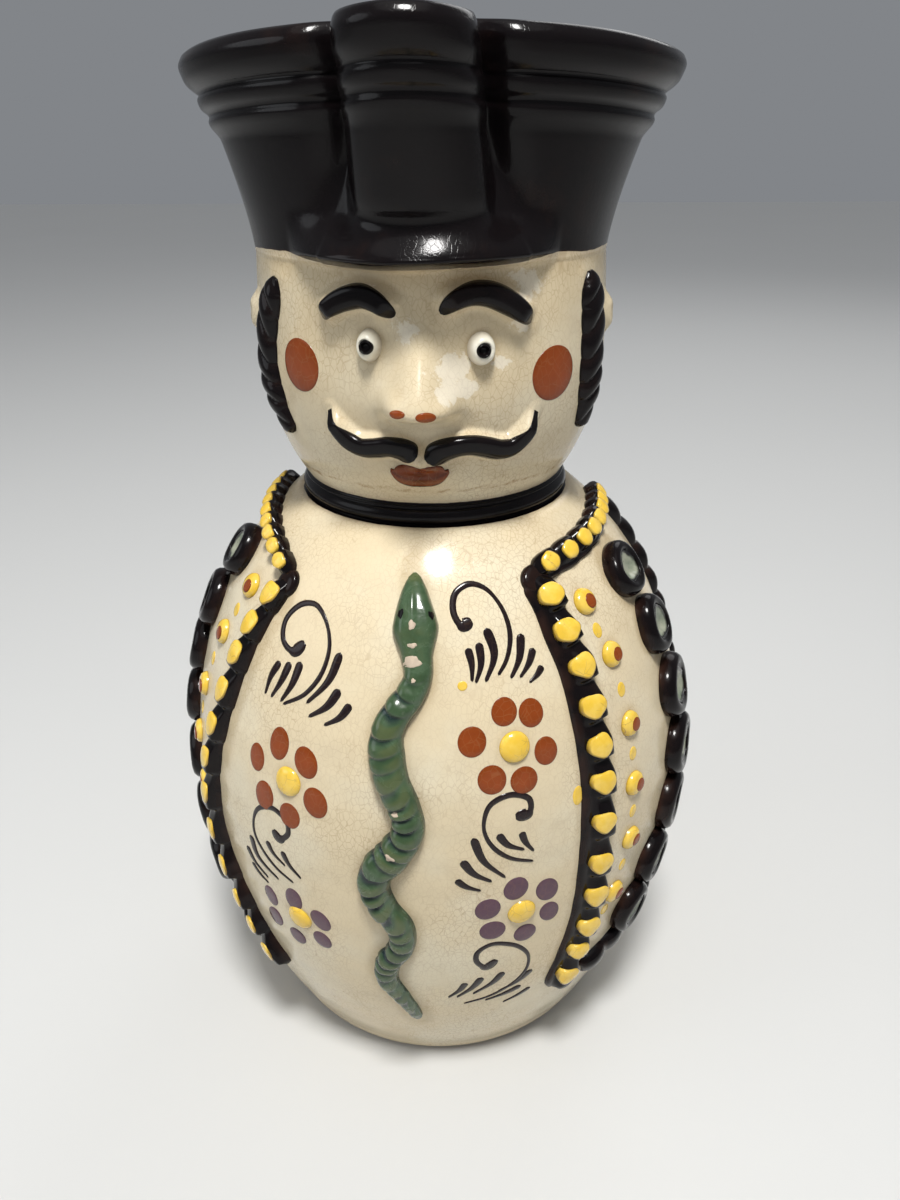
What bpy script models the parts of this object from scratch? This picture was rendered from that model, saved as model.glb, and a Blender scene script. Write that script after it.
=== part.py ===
"""A figural pottery jug: a hollow, glazed earthenware vessel shaped as a moustached hussar.

The belly is the body of the figure, the upper bulb is the head, and the tall hat opens upwards as a
pouring mouth with three lobes. Everything on the wall is the same clay: a jacket border with pressed
beads, buttons, a snake, the face and a strap handle at the back. The front of the figure faces -Y.
"""

import math

import bmesh
import bpy
from mathutils import Vector

# Vessel wall
WALL = 0.005
FLOOR = 0.006
FOOT_RADIUS = 0.053
FOOT_ROUNDING = 0.004
BELLY_RADIUS = 0.0800
BELLY_HEIGHT = 0.097
BELLY_DROP = 0.138
SHOULDER_RISE = 0.1015
COLLAR_FOOT = 0.184
COLLAR_DEPTH = 0.006
NECK_RADIUS = 0.0378
COLLAR_SWELL = 0.0019
HEAD_RADIUS = 0.0485
HEAD_HEIGHT = 0.225
CHIN_DROP = 0.056
CROWN_RISE = 0.130

# Hat, which is the mouth of the jug
HAT_FOOT = 0.2515
HAT_RADIUS = 0.0476
HAT_WALL = 0.0045
RIM_HEIGHT = 0.300
RIM_DROOP = 0.004
SPOUT_LIFT = 0.002
LEFT_LOBE_REACH = 0.0145
RIGHT_LOBE_REACH = 0.0127
END_REACH = 0.003
FLARE_POWER = 1.35
RIM_SWELL = 0.0030
RING_SWELL = 0.0012
SPOUT_FRONT = 0.0660
SPOUT_HALF_WIDTH = 0.0140
SPOUT_FOOT_FRONT = 0.0535
SPOUT_FOOT_HALF_WIDTH = 0.0175
SPOUT_TURN = math.radians(-2.5)
SPOUT_FOOT_TURN = math.radians(1.5)
SPOUT_BLEND = 0.0012
CREASE_DEPTH = 0.0070
CREASE_SPREAD = math.radians(5)
VISOR_REACH = 0.010
VISOR_HEIGHT = 0.2545
VISOR_TOP = 0.263
VISOR_UNDER = 0.246
VISOR_HALF_ANGLE = math.radians(39)

# Jacket border. The ways below were laid by hand: each point is degrees from the front and height.
BORDER_WIDTH = 0.0115
BORDER_LIFT = 0.0042
BORDER_BEADS = 12
RIGHT_BORDER = ((35, 0.171), (37, 0.158), (38, 0.142), (39, 0.118), (39, 0.090), (38, 0.062), (36, 0.038))
LEFT_BORDER = (
    (-43, 0.170), (-49, 0.152), (-53, 0.130), (-57, 0.106), (-57, 0.086), (-52, 0.063), (-40, 0.041),
)
BACK_BORDER_WIDTH = 0.0090
BACK_BORDER = (
    (97, 0.174), (100, 0.150), (99, 0.125), (96, 0.101), (88, 0.078), (77, 0.060), (63, 0.047), (43, 0.038),
)
NECKLINE_HEIGHT = 0.1765
NECKLINE_WIDTH = 0.0105
NECKLINE_BEAD_PITCH = 0.0095
RIGHT_NECKLINE_ENDS = (32, 100)
LEFT_NECKLINE_ENDS = (-40, -108)

# What is set on the jacket, right column first; the left one mirrors it about MIRROR_TURN
MIRROR_TURN = -5
BUTTON_RADIUS = 0.0088
BUTTON_LIFT = 0.0046
BUTTON_COLUMN = ((66, 0.166), (70, 0.148), (70, 0.129), (69, 0.109), (66, 0.090), (61, 0.073), (55, 0.058))
KNOB_RADIUS = 0.0040
KNOB_LIFT = 0.0026
KNOB_COLUMN = ((47, 0.165), (49, 0.149), (50, 0.130), (50, 0.110), (49, 0.090), (46, 0.071))
FLOWER_HEART_RADIUS = 0.0042
FLOWER_HEART_LIFT = 0.0018
FLOWER_HEARTS = ((-28, 0.120), (20, 0.136), (-29, 0.068), (21, 0.079))

# Snake down the front
SNAKE_WAY = (
    (-2, 0.177), (-1, 0.166), (0, 0.158), (1, 0.151), (-2, 0.146), (-6, 0.141), (-6, 0.134), (-5, 0.127),
    (-2, 0.121), (-1, 0.115), (-4, 0.108), (-8, 0.102), (-9, 0.094), (-7, 0.084), (-4, 0.076), (-4, 0.068),
    (-7, 0.058), (-7, 0.050), (-4, 0.041), (-2, 0.031),
)
SNAKE_WIDTH = 0.0095
SNAKE_LIFT = 0.0060
SNAKE_HEAD_WIDTH = 0.0118
SNAKE_HEAD_LENGTH = 0.016

# Face
NOSE_TURN = 0.6
NOSE_TOP = 0.240
NOSE_TIP = 0.2195
NOSE_UNDER = 0.215
NOSE_WIDTH = 0.0150
NOSE_LIFT = 0.0090
EYE_TURNS = (-12.2, 17.4)
EYE_HEIGHT = 0.2342
EYE_RADIUS = 0.0034
EYE_LIFT = 0.0032
BROWS = (
    ((-28.5, 0.2395), (-25, 0.2422), (-19.5, 0.2446), (-15, 0.2453), (-10.5, 0.2440), (-6, 0.2408)),
    ((6.6, 0.2414), (10, 0.2443), (14.5, 0.2458), (20, 0.2456), (26, 0.2432), (33.5, 0.2382)),
)
BROW_WIDTH = 0.0050
BROW_LIFT = 0.0034
MOUSTACHE = (
    ((-1.4, 0.2060), (-8.8, 0.2089), (-17.8, 0.2080), (-24.6, 0.2120), (-28.2, 0.2170)),
    ((3.4, 0.2060), (11.1, 0.2090), (19.6, 0.2084), (28.2, 0.2073), (36.8, 0.2160)),
)
MOUSTACHE_WIDTH = 0.0056
MOUSTACHE_LIFT = 0.0038
LIP_ENDS = (-9.8, 8.8)
LIP_HEIGHT = 0.2006
LIP_CURVE = 0.0006
LIP_WIDTH = 0.0062
LIP_LIFT = 0.0030
SIDE_LOCKS = (
    ((60, 0.2475), (61.5, 0.236), (61.5, 0.222), (62.5, 0.2070)),
    ((-49.5, 0.2475), (-54.5, 0.237), (-56.5, 0.224), (-49.5, 0.2070)),
)
SIDE_LOCK_WIDTH = 0.0088
SIDE_LOCK_LIFT = 0.0026
SIDE_LOCK_TWISTS = 8
EAR_TURN = 76
EAR_HEIGHT = 0.2385
EAR_RADIUS = 0.0052
EAR_LIFT = 0.0036

# Strap handle at the back
HANDLE_TOP = 0.284
HANDLE_FOOT = 0.155
HANDLE_REACH = 0.043
HANDLE_WIDTH = 0.026
HANDLE_FOOT_WIDTH = 0.021
HANDLE_THICKNESS = 0.010

# How finely the solid is cut
BAND_ROOT = 0.0022
DOME_SIDES = 7
DIMPLED_SIDES = 10
STATIONS_PER_BEAD = 3
SHARP_ANGLE = math.radians(38)

CREAM_GLAZE = (0.78, 0.73, 0.60, 1.0)


def clear_scene():
    for obj in list(bpy.data.objects):
        bpy.data.objects.remove(obj)


def arch(value, low, high):
    """0 outside low..high, and a round hump of height 1 between them."""
    if not low < value < high:
        return 0.0
    return math.sin(math.pi * (value - low) / (high - low))


def ease(value, low, high):
    """0 below low, 1 above high, and a smooth step between them."""
    share = min(max((value - low) / (high - low), 0.0), 1.0)
    return share * share * (3 - 2 * share)


def smooth_max(a, b, blend):
    return 0.5 * (a + b + math.hypot(a - b, blend))


# Outer and inner outlines of the turned parts

def ellipse(radius, distance, reach):
    return radius * math.sqrt(max(1 - (distance / reach) ** 2, 0.0))


def turned_radius(height):
    """Outer radius of belly, collar and head at a height."""
    if height < BELLY_HEIGHT:
        return ellipse(BELLY_RADIUS, BELLY_HEIGHT - height, BELLY_DROP)
    if height < COLLAR_FOOT:
        return ellipse(BELLY_RADIUS, height - BELLY_HEIGHT, SHOULDER_RISE)
    if height < COLLAR_FOOT + COLLAR_DEPTH:
        rise = (height - COLLAR_FOOT) / COLLAR_DEPTH
        return NECK_RADIUS + COLLAR_SWELL * (arch(rise, 0.0, 0.72) + 0.5 * arch(rise, 0.72, 1.0))
    if height < HEAD_HEIGHT:
        return max(ellipse(HEAD_RADIUS, HEAD_HEIGHT - height, CHIN_DROP), NECK_RADIUS)
    return ellipse(HEAD_RADIUS, height - HEAD_HEIGHT, CROWN_RISE)


def hollow_radius(height):
    """Inner radius of belly, neck and head at a height."""
    neck = NECK_RADIUS - WALL
    if height < BELLY_HEIGHT:
        return ellipse(BELLY_RADIUS - WALL, BELLY_HEIGHT - height, BELLY_DROP - WALL)
    belly = ellipse(BELLY_RADIUS - WALL, height - BELLY_HEIGHT, SHOULDER_RISE - WALL)
    below = HEAD_HEIGHT - height
    head = ellipse(HEAD_RADIUS - WALL, below, CHIN_DROP - WALL if below > 0 else CROWN_RISE)
    return max(neck, belly, head)


def visor_reach(turn, height):
    """How far the peak over the forehead stands out from the hat."""
    if abs(turn) >= VISOR_HALF_ANGLE:
        return 0.0
    spread = math.cos(0.5 * math.pi * turn / VISOR_HALF_ANGLE) ** 1.2
    if height > VISOR_HEIGHT:
        drop = 1 - ease(height, VISOR_HEIGHT, VISOR_TOP)
    else:
        drop = ease(height, VISOR_UNDER, VISOR_HEIGHT)
    return VISOR_REACH * spread * drop


def rim_height(turn):
    """The rim dips at the two side lobes and rises at the spout."""
    lift = SPOUT_LIFT * math.exp(-((turn - SPOUT_TURN) / math.radians(16)) ** 2)
    return RIM_HEIGHT - RIM_DROOP * math.sin(turn) ** 4 + lift


def spout_turn(share):
    return SPOUT_FOOT_TURN + (SPOUT_TURN - SPOUT_FOOT_TURN) * share


def spout_section(share, inset=0.0):
    """Half width of the round front of the spout, and the distance of its centre from the axis."""
    half = SPOUT_FOOT_HALF_WIDTH + (SPOUT_HALF_WIDTH - SPOUT_FOOT_HALF_WIDTH) * share
    front = SPOUT_FOOT_FRONT + (SPOUT_FRONT - SPOUT_FOOT_FRONT) * share
    return half - inset, front - half


def crease_turn(share, inset=0.0):
    """Angle between the middle of the spout and the crease on either side of it."""
    half, centre = spout_section(share, inset)
    return math.asin(min(half / centre, 0.8))


def hat_radius(turn, share, inset=0.0):
    """Radius of the hat at an angle from the front and a share of its height; inset moves it inwards."""
    flare = share ** FLARE_POWER
    reach = LEFT_LOBE_REACH if math.sin(turn) < 0 else RIGHT_LOBE_REACH
    lobe = HAT_RADIUS + flare * (END_REACH + (reach - END_REACH) * math.sin(turn) ** 2) - inset
    away = abs(turn - spout_turn(share))
    grown = ease(share, 0.02, 0.30)
    if grown == 0.0 or away > math.radians(60):
        return lobe
    beyond = max(away - crease_turn(share), 0.0)
    valley = lobe - CREASE_DEPTH * grown * math.exp(-((beyond / CREASE_SPREAD) ** 2))
    if away > 0.985 * crease_turn(share, inset):
        return valley
    half, centre = spout_section(share, inset)
    root = max(half * half - (centre * math.sin(away)) ** 2, 0.0)
    spout = centre * math.cos(away) + math.sqrt(root)
    return smooth_max(lobe + (spout - lobe) * grown, valley, SPOUT_BLEND)


def around(turn, radius, height):
    return Vector((radius * math.sin(turn), -radius * math.cos(turn), height))


def wall_frame(turn, height):
    """Point on the turned wall with its outward normal and the level and upward tangents."""
    step = 0.1 * WALL
    slope = (turned_radius(height + step) - turned_radius(height - step)) / (2 * step)
    outward = Vector((math.sin(turn), -math.cos(turn), -slope)).normalized()
    level = Vector((math.cos(turn), math.sin(turn), 0.0))
    return around(turn, turned_radius(height), height), outward, level, outward.cross(level)


# Vessel

SPOUT_COLUMNS = (0.40, 0.74, 0.95, 1.0)
FLANK_COLUMNS = (0.07, 0.16, 0.36, 0.57, 0.78, 1.0)
BACK_COLUMNS = 8


def column_turns(share, inset=0.0):
    """Angles of the vessel's upright edges at a share of the hat; one edge runs down each crease."""
    middle, crease = spout_turn(share), crease_turn(share, inset)
    turns = [middle]
    for side in (1, -1):
        half = [middle + side * crease * part for part in SPOUT_COLUMNS]
        start = half[-1]
        half += [start + (side * 0.5 * math.pi - start) * part for part in FLANK_COLUMNS]
        half += [side * 0.5 * math.pi * (1 + (k + 1) / BACK_COLUMNS) for k in range(BACK_COLUMNS)]
        turns = turns + half if side > 0 else half[-2::-1] + turns
    return turns


def spaced(start, stop, count):
    """count values from start to stop, both included."""
    return [start + (stop - start) * k / (count - 1) for k in range(count)]


def turned_ring(radius, height, inset=0.0):
    return [around(turn, radius, height) for turn in column_turns(0.0, inset)]


def hat_ring(share, swell=0.0, inset=0.0):
    ring = []
    for turn in column_turns(share, inset):
        height = HAT_FOOT + share * (rim_height(turn) - HAT_FOOT)
        radius = hat_radius(turn, share, inset) + swell
        if not inset:
            radius += visor_reach(turn, height)
        ring.append(around(turn, radius, height))
    return ring


def outer_rings():
    edge = turned_radius(FOOT_ROUNDING)
    rings = []
    for quarter in (0.0, 0.5, 1.0):
        angle = 0.5 * math.pi * quarter
        radius = FOOT_RADIUS + (edge - FOOT_RADIUS) * math.sin(angle)
        rings.append(turned_ring(radius, FOOT_ROUNDING * (1 - math.cos(angle))))
    belly = spaced(FOOT_ROUNDING, BELLY_HEIGHT, 6)[1:]
    shoulder = [
        BELLY_HEIGHT + SHOULDER_RISE * math.sin(angle)
        for angle in spaced(0, math.asin((COLLAR_FOOT - BELLY_HEIGHT) / SHOULDER_RISE), 8)[1:]
    ]
    collar = [COLLAR_FOOT + COLLAR_DEPTH * share for share in (0.1, 0.36, 0.72, 0.86, 1.0)]
    head = spaced(COLLAR_FOOT + COLLAR_DEPTH, HEAD_HEIGHT, 5)[1:]
    head += [0.5 * (HEAD_HEIGHT + VISOR_UNDER), VISOR_UNDER]
    for height in belly + shoulder + collar + head:
        rings.append(turned_ring(turned_radius(height), height))
    for share in (0.0, 0.06, 0.14, 0.23, 0.38, 0.54, 0.67):
        rings.append(hat_ring(share))
    for share, swell in ((0.72, 1.0), (0.78, 0.2)):
        rings.append(hat_ring(share, RING_SWELL * swell))
    for share, swell in ((0.83, 0.65), (0.90, 1.0), (0.96, 0.75), (1.0, 0.0)):
        rings.append(hat_ring(share, RIM_SWELL * swell))
    return rings


def inner_rings():
    """The hollow from the rim down to the floor."""
    rings = [hat_ring(share, inset=HAT_WALL) for share in (1.0, 0.75, 0.50, 0.28, 0.10)]
    head = [VISOR_UNDER] + spaced(HEAD_HEIGHT, COLLAR_FOOT + 1.5 * COLLAR_DEPTH, 4)
    shoulder = [
        BELLY_HEIGHT + (SHOULDER_RISE - WALL) * math.sin(math.radians(angle))
        for angle in (63, 52, 40, 22, 0)
    ]
    belly = spaced(BELLY_HEIGHT, FLOOR + 1.6 * WALL, 4)[1:]
    for height in head + shoulder + belly:
        rings.append(turned_ring(hollow_radius(height), height, HAT_WALL))
    rings.append(turned_ring(hollow_radius(FLOOR) - FLOOR, FLOOR, HAT_WALL))
    return rings


def mesh_object(name, bm, hidden=True):
    bmesh.ops.recalc_face_normals(bm, faces=bm.faces)
    for polygon in bm.faces:
        polygon.smooth = True
    mesh = bpy.data.meshes.new(name)
    bm.to_mesh(mesh)
    bm.free()
    mesh.set_sharp_from_angle(angle=SHARP_ANGLE)
    obj = bpy.data.objects.new(name, mesh)
    bpy.context.scene.collection.objects.link(obj)
    if hidden:
        obj.hide_render = True
        obj.display_type = "WIRE"
    return obj


def make_vessel():
    bm = bmesh.new()
    loops = [[bm.verts.new(point) for point in ring] for ring in outer_rings() + inner_rings()]
    skin(bm, loops, closed_ends=True)
    return mesh_object("jug", bm, hidden=False)


def skin(bm, loops, closed_ends):
    """Quads between each pair of loops that follow one another, and a cap at either end."""
    for lower, upper in zip(loops, loops[1:]):
        for k in range(len(lower)):
            after = (k + 1) % len(lower)
            bm.faces.new((lower[k], lower[after], upper[after], upper[k]))
    if closed_ends:
        bm.faces.new(loops[0][::-1])
        bm.faces.new(loops[-1])


# Relief laid on the wall

def smooth_way(points, count):
    """count points on a Catmull-Rom curve through (degrees, height) points, as (turn, height)."""
    way = []
    last = len(points) - 1
    for k in range(count):
        place = last * k / (count - 1)
        i = min(int(place), last - 1)
        t = place - i
        four = [points[min(max(i + d, 0), last)] for d in (-1, 0, 1, 2)]
        way.append(tuple(catmull(four, t, axis) for axis in (0, 1)))
    return [(math.radians(degrees), height) for degrees, height in way]


def catmull(four, t, axis):
    a, b, c, d = (point[axis] for point in four)
    square, cube = 2 * a - 5 * b + 4 * c - d, 3 * b - a - 3 * c + d
    return 0.5 * (2 * b + (c - a) * t + square * t ** 2 + cube * t ** 3)


FLAT_BAND = ((-0.5, 0.30), (-0.24, 1.0), (0.24, 1.0), (0.5, 0.30))
ROUND_BAND = ((-0.5, 0.25), (0.0, 1.0), (0.5, 0.25))


def lay_band(bm, way, widths, lifts, section):
    """A strip of clay along way on the wall; each station has its own width and lift."""
    frames = [wall_frame(turn, height) for turn, height in way]
    spots = [frame[0] for frame in frames]
    loops = []
    for k, (spot, outward, _, _) in enumerate(frames):
        ahead = spots[min(k + 1, len(spots) - 1)] - spots[max(k - 1, 0)]
        across = outward.cross(ahead).normalized()
        loop = [bm.verts.new(spot - 0.5 * widths[k] * across - BAND_ROOT * outward)]
        for side, up in section:
            loop.append(bm.verts.new(spot + side * widths[k] * across + up * lifts[k] * outward))
        loop.append(bm.verts.new(spot + 0.5 * widths[k] * across - BAND_ROOT * outward))
        loops.append(loop)
    skin(bm, loops, closed_ends=True)


def lay_dome(bm, place, half_level, half_upright, lift, dimple=0.0):
    """A round pat of clay on the wall, with a pressed hollow in it where dimple is over 0."""
    spot, outward, level, upward = wall_frame(math.radians(place[0]), place[1])
    sides = DIMPLED_SIDES if dimple else DOME_SIDES
    loops = []
    for share, up in ((0.85, -BAND_ROOT), (1.0, 0.30 * lift), (0.62, lift if dimple else 0.88 * lift)):
        loop = []
        for k in range(sides):
            angle = 2 * math.pi * k / sides
            side = half_level * share * math.cos(angle) * level
            rise = half_upright * share * math.sin(angle) * upward
            loop.append(bm.verts.new(spot + side + rise + up * outward))
        loops.append(loop)
    skin(bm, loops, closed_ends=False)
    bm.faces.new(loops[0][::-1])
    crown = bm.verts.new(spot + (lift - dimple) * outward)
    top = loops[-1]
    for k in range(sides):
        bm.faces.new((top[k], top[(k + 1) % sides], crown))


def bead_lift(index, stations):
    """Lift along a pressed border: high in the middle of each bead and low between two."""
    return BORDER_LIFT * (0.70 + 0.30 * math.sin(math.pi * ((index / stations) % 1.0)))


def front_borders():
    bm = bmesh.new()
    count = BORDER_BEADS * STATIONS_PER_BEAD + 1
    lifts = [bead_lift(k, STATIONS_PER_BEAD) for k in range(count)]
    widths = [BORDER_WIDTH * (0.62 + 0.38 * lift / BORDER_LIFT) for lift in lifts]
    for way in (RIGHT_BORDER, LEFT_BORDER):
        lay_band(bm, smooth_way(way, count), widths, lifts, FLAT_BAND)
    return mesh_object("front_borders", bm)


def neckline():
    """The border along the shoulder, from each front border to the back border on its side."""
    bm = bmesh.new()
    for ends in (RIGHT_NECKLINE_ENDS, LEFT_NECKLINE_ENDS):
        start, stop = (math.radians(degrees) for degrees in ends)
        count = 2 * round(abs(stop - start) * turned_radius(NECKLINE_HEIGHT) / NECKLINE_BEAD_PITCH) + 1
        way = [(turn, NECKLINE_HEIGHT) for turn in spaced(start, stop, count)]
        lay_band(bm, way, [NECKLINE_WIDTH] * count, [bead_lift(k, 2) for k in range(count)], ROUND_BAND)
    return mesh_object("neckline", bm)


def back_borders():
    """The plain border behind each row of buttons, down to the foot of the front border."""
    bm = bmesh.new()
    count = 16
    for way in (BACK_BORDER, mirror_column(BACK_BORDER)):
        lifts = [0.75 * BORDER_LIFT] * count
        lay_band(bm, smooth_way(way, count), [BACK_BORDER_WIDTH] * count, lifts, ROUND_BAND)
    return mesh_object("back_borders", bm)


def mirror_column(column):
    return tuple((2 * MIRROR_TURN - degrees, height) for degrees, height in column)


def mirrored(column):
    """A column of places and its mirror image on the other side of the jacket."""
    return column + mirror_column(column)


def jacket_fittings():
    """Buttons with a thumb hollow, plain knobs beside them, and the raised hearts of the flowers."""
    bm = bmesh.new()
    for place in mirrored(BUTTON_COLUMN):
        lay_dome(bm, place, BUTTON_RADIUS, BUTTON_RADIUS, BUTTON_LIFT, 0.6 * BUTTON_LIFT)
    for place in mirrored(KNOB_COLUMN):
        lay_dome(bm, place, KNOB_RADIUS, KNOB_RADIUS, KNOB_LIFT)
    for place in FLOWER_HEARTS:
        lay_dome(bm, place, FLOWER_HEART_RADIUS, FLOWER_HEART_RADIUS, FLOWER_HEART_LIFT)
    return mesh_object("jacket_fittings", bm)


def snake():
    bm = bmesh.new()
    count = 36
    length = SNAKE_WAY[0][1] - SNAKE_WAY[-1][1]
    head_share = SNAKE_HEAD_LENGTH / length
    widths, lifts = [], []
    for k in range(count):
        share = k / (count - 1)
        taper = 1 - 0.68 * ease(share, 0.72, 1.0)
        body = SNAKE_WIDTH * (0.78 + 0.22 * ease(share, head_share, 0.35)) * taper
        head = SNAKE_HEAD_WIDTH * math.sqrt(max(arch(share + 0.004, 0.0, 1.5 * head_share), 0.0))
        widths.append(max(body * ease(share, 0.0, 0.02), head))
        pinch = 1 - 0.12 * (k % 2)
        lifts.append(SNAKE_LIFT * taper * pinch * (0.45 + 0.55 * ease(share, 0.0, head_share)))
    lay_band(bm, smooth_way(SNAKE_WAY, count), widths, lifts, FLAT_BAND)
    return mesh_object("snake", bm)


def tapered(count, size, start, end):
    """Sizes along a strip that is full in the middle and tapers to shares of itself at its ends."""
    sizes = []
    for share in spaced(0, 1, count):
        opening = start + (1 - start) * ease(share, 0, 0.3)
        closing = end + (1 - end) * ease(1 - share, 0, 0.35)
        sizes.append(size * opening * closing)
    return sizes


def face():
    bm = bmesh.new()
    for brow in BROWS:
        widths, lifts = tapered(8, BROW_WIDTH, 0.75, 0.6), tapered(8, BROW_LIFT, 0.7, 0.5)
        lay_band(bm, smooth_way(brow, 8), widths, lifts, ROUND_BAND)
    for lip_hair in MOUSTACHE:
        widths, lifts = tapered(10, MOUSTACHE_WIDTH, 0.75, 0.45), tapered(10, MOUSTACHE_LIFT, 0.8, 0.5)
        lay_band(bm, smooth_way(lip_hair, 10), widths, lifts, ROUND_BAND)
    for turn in EYE_TURNS:
        lay_dome(bm, (turn, EYE_HEIGHT), EYE_RADIUS, EYE_RADIUS * 1.15, EYE_LIFT)
    for turn in (-EAR_TURN, EAR_TURN):
        lay_dome(bm, (turn, EAR_HEIGHT), 0.7 * EAR_RADIUS, EAR_RADIUS, EAR_LIFT)
    for way in SIDE_LOCKS:
        side_lock(bm, way)
    nose_way = []
    for share in (0.0, 0.35, 0.68, 1.0):
        nose_way.append((math.radians(NOSE_TURN), NOSE_TOP + (NOSE_TIP - NOSE_TOP) * share))
    for share in (0.67, 1.0):
        nose_way.append((math.radians(NOSE_TURN), NOSE_TIP + (NOSE_UNDER - NOSE_TIP) * share))
    widths = [NOSE_WIDTH * share for share in (0.35, 0.42, 0.62, 1.0, 1.0, 0.85)]
    lifts = [NOSE_LIFT * share for share in (0.06, 0.28, 0.62, 1.0, 0.72, 0.10)]
    lay_band(bm, nose_way, widths, lifts, FLAT_BAND)
    return mesh_object("face", bm)


def side_lock(bm, way):
    """A twisted lock of hair in front of the ear."""
    count = 2 * SIDE_LOCK_TWISTS + 1
    twist = [0.80 + 0.20 * (k % 2) for k in range(count)]
    widths = [w * t for w, t in zip(tapered(count, SIDE_LOCK_WIDTH, 0.5, 0.4), twist)]
    lifts = [w * t for w, t in zip(tapered(count, SIDE_LOCK_LIFT, 0.5, 0.4), twist)]
    lay_band(bm, smooth_way(way, count), widths, lifts, ROUND_BAND)


def lips():
    bm = bmesh.new()
    way = []
    for share in spaced(-1, 1, 7):
        degrees = 0.5 * (LIP_ENDS[0] + LIP_ENDS[1] + (LIP_ENDS[1] - LIP_ENDS[0]) * share)
        way.append((math.radians(degrees), LIP_HEIGHT + LIP_CURVE * share ** 2))
    lay_band(bm, way, tapered(7, LIP_WIDTH, 0.35, 0.35), tapered(7, LIP_LIFT, 0.3, 0.3), ROUND_BAND)
    return mesh_object("lips", bm)


def handle():
    """A strap handle from the back of the hat to the shoulder, as a bevelled oval along a curve."""
    top_root = hat_radius(math.pi, (HANDLE_TOP - HAT_FOOT) / (RIM_HEIGHT - HAT_FOOT)) - 0.6 * HAT_WALL
    foot_root = turned_radius(HANDLE_FOOT) - 0.6 * WALL
    outer = HEAD_RADIUS + HANDLE_REACH
    drop = HANDLE_TOP - HANDLE_FOOT
    way = (
        (top_root, HANDLE_TOP),
        (top_root + 0.35 * HANDLE_REACH, HANDLE_TOP + 0.035 * drop),
        (top_root + 0.72 * HANDLE_REACH, HANDLE_TOP - 0.03 * drop),
        (outer - 0.09 * HANDLE_REACH, HANDLE_TOP - 0.18 * drop),
        (outer, HANDLE_TOP - 0.36 * drop),
        (outer - 0.05 * HANDLE_REACH, HANDLE_TOP - 0.54 * drop),
        (outer - 0.19 * HANDLE_REACH, HANDLE_TOP - 0.72 * drop),
        (outer - 0.40 * HANDLE_REACH, HANDLE_TOP - 0.87 * drop),
        (foot_root, HANDLE_FOOT),
    )
    count = 15
    spots = []
    for k in range(count):
        place = (len(way) - 1) * k / (count - 1)
        i = min(int(place), len(way) - 2)
        four = [way[min(max(i + d, 0), len(way) - 1)] for d in (-1, 0, 1, 2)]
        spots.append(Vector((0, catmull(four, place - i, 0), catmull(four, place - i, 1))))
    bm = bmesh.new()
    loops = []
    for k, spot in enumerate(spots):
        ahead = (spots[min(k + 1, count - 1)] - spots[max(k - 1, 0)]).normalized()
        outward = Vector((0, -ahead.z, ahead.y))
        share = k / (count - 1)
        half = 0.5 * (HANDLE_WIDTH + (HANDLE_FOOT_WIDTH - HANDLE_WIDTH) * share)
        flare = 1 + 0.25 * (1 - ease(share, 0, 0.15)) + 0.40 * ease(share, 0.80, 1)
        loop = []
        for side in range(10):
            angle = 2 * math.pi * side / 10
            across = Vector((half * flare * math.cos(angle), 0, 0))
            loop.append(bm.verts.new(spot + across + 0.5 * HANDLE_THICKNESS * math.sin(angle) * outward))
        loops.append(loop)
    skin(bm, loops, closed_ends=True)
    return mesh_object("handle", bm)


def join_clay(jug, relief):
    joint = jug.modifiers.new("join_" + relief.name, "BOOLEAN")
    joint.operation = "UNION"
    joint.solver = "EXACT"
    joint.object = relief


def glaze(obj):
    material = bpy.data.materials.new("cream_glaze")
    material.use_nodes = True
    shader = material.node_tree.nodes["Principled BSDF"]
    shader.inputs["Base Color"].default_value = CREAM_GLAZE
    shader.inputs["Roughness"].default_value = 0.15
    shader.inputs["Metallic"].default_value = 0.0
    obj.data.materials.append(material)


def main():
    clear_scene()
    jug = make_vessel()
    reliefs = (
        front_borders(), neckline(), back_borders(), jacket_fittings(), snake(), face(), lips(), handle()
    )
    for relief in reliefs:
        join_clay(jug, relief)
    glaze(jug)


main()
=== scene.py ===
"""Dresses a figural pottery jug: its glazed wall, the relief laid on it and the brushwork.

Lengths inside the functions are millimetres and turns are degrees from the face, positive to the
viewer's right; they become metres as each mesh is made.
"""

import math
import types

import bmesh
import bpy
import numpy as np
from bpy.props import FloatProperty, FloatVectorProperty, PointerProperty
from mathutils import Matrix


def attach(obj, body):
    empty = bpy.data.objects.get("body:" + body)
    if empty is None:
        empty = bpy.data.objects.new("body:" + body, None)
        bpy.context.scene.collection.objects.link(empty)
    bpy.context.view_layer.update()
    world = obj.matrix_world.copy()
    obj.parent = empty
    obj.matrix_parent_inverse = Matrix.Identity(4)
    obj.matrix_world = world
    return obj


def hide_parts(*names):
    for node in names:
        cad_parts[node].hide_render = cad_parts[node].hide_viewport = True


bl_info = {
    "name": "Figural Jug",
    "version": (1, 0, 0),
    "blender": (4, 5, 0),
    "location": "View3D > Sidebar > Jug",
    "description": "Builds the glazed wall, relief and brushwork of a figural pottery jug",
    "category": "Add Mesh",
}

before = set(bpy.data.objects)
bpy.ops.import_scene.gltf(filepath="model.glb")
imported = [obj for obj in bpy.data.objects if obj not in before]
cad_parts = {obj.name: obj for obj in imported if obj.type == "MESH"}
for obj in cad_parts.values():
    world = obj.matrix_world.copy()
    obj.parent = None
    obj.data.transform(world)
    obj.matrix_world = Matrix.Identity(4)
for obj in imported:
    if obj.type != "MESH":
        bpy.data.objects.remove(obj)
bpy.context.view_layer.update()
MM = 0.001

# Millimetres a degree along the head and along the body
FACE_SCALE = 0.846
BODY_SCALE = 1.35
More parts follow.
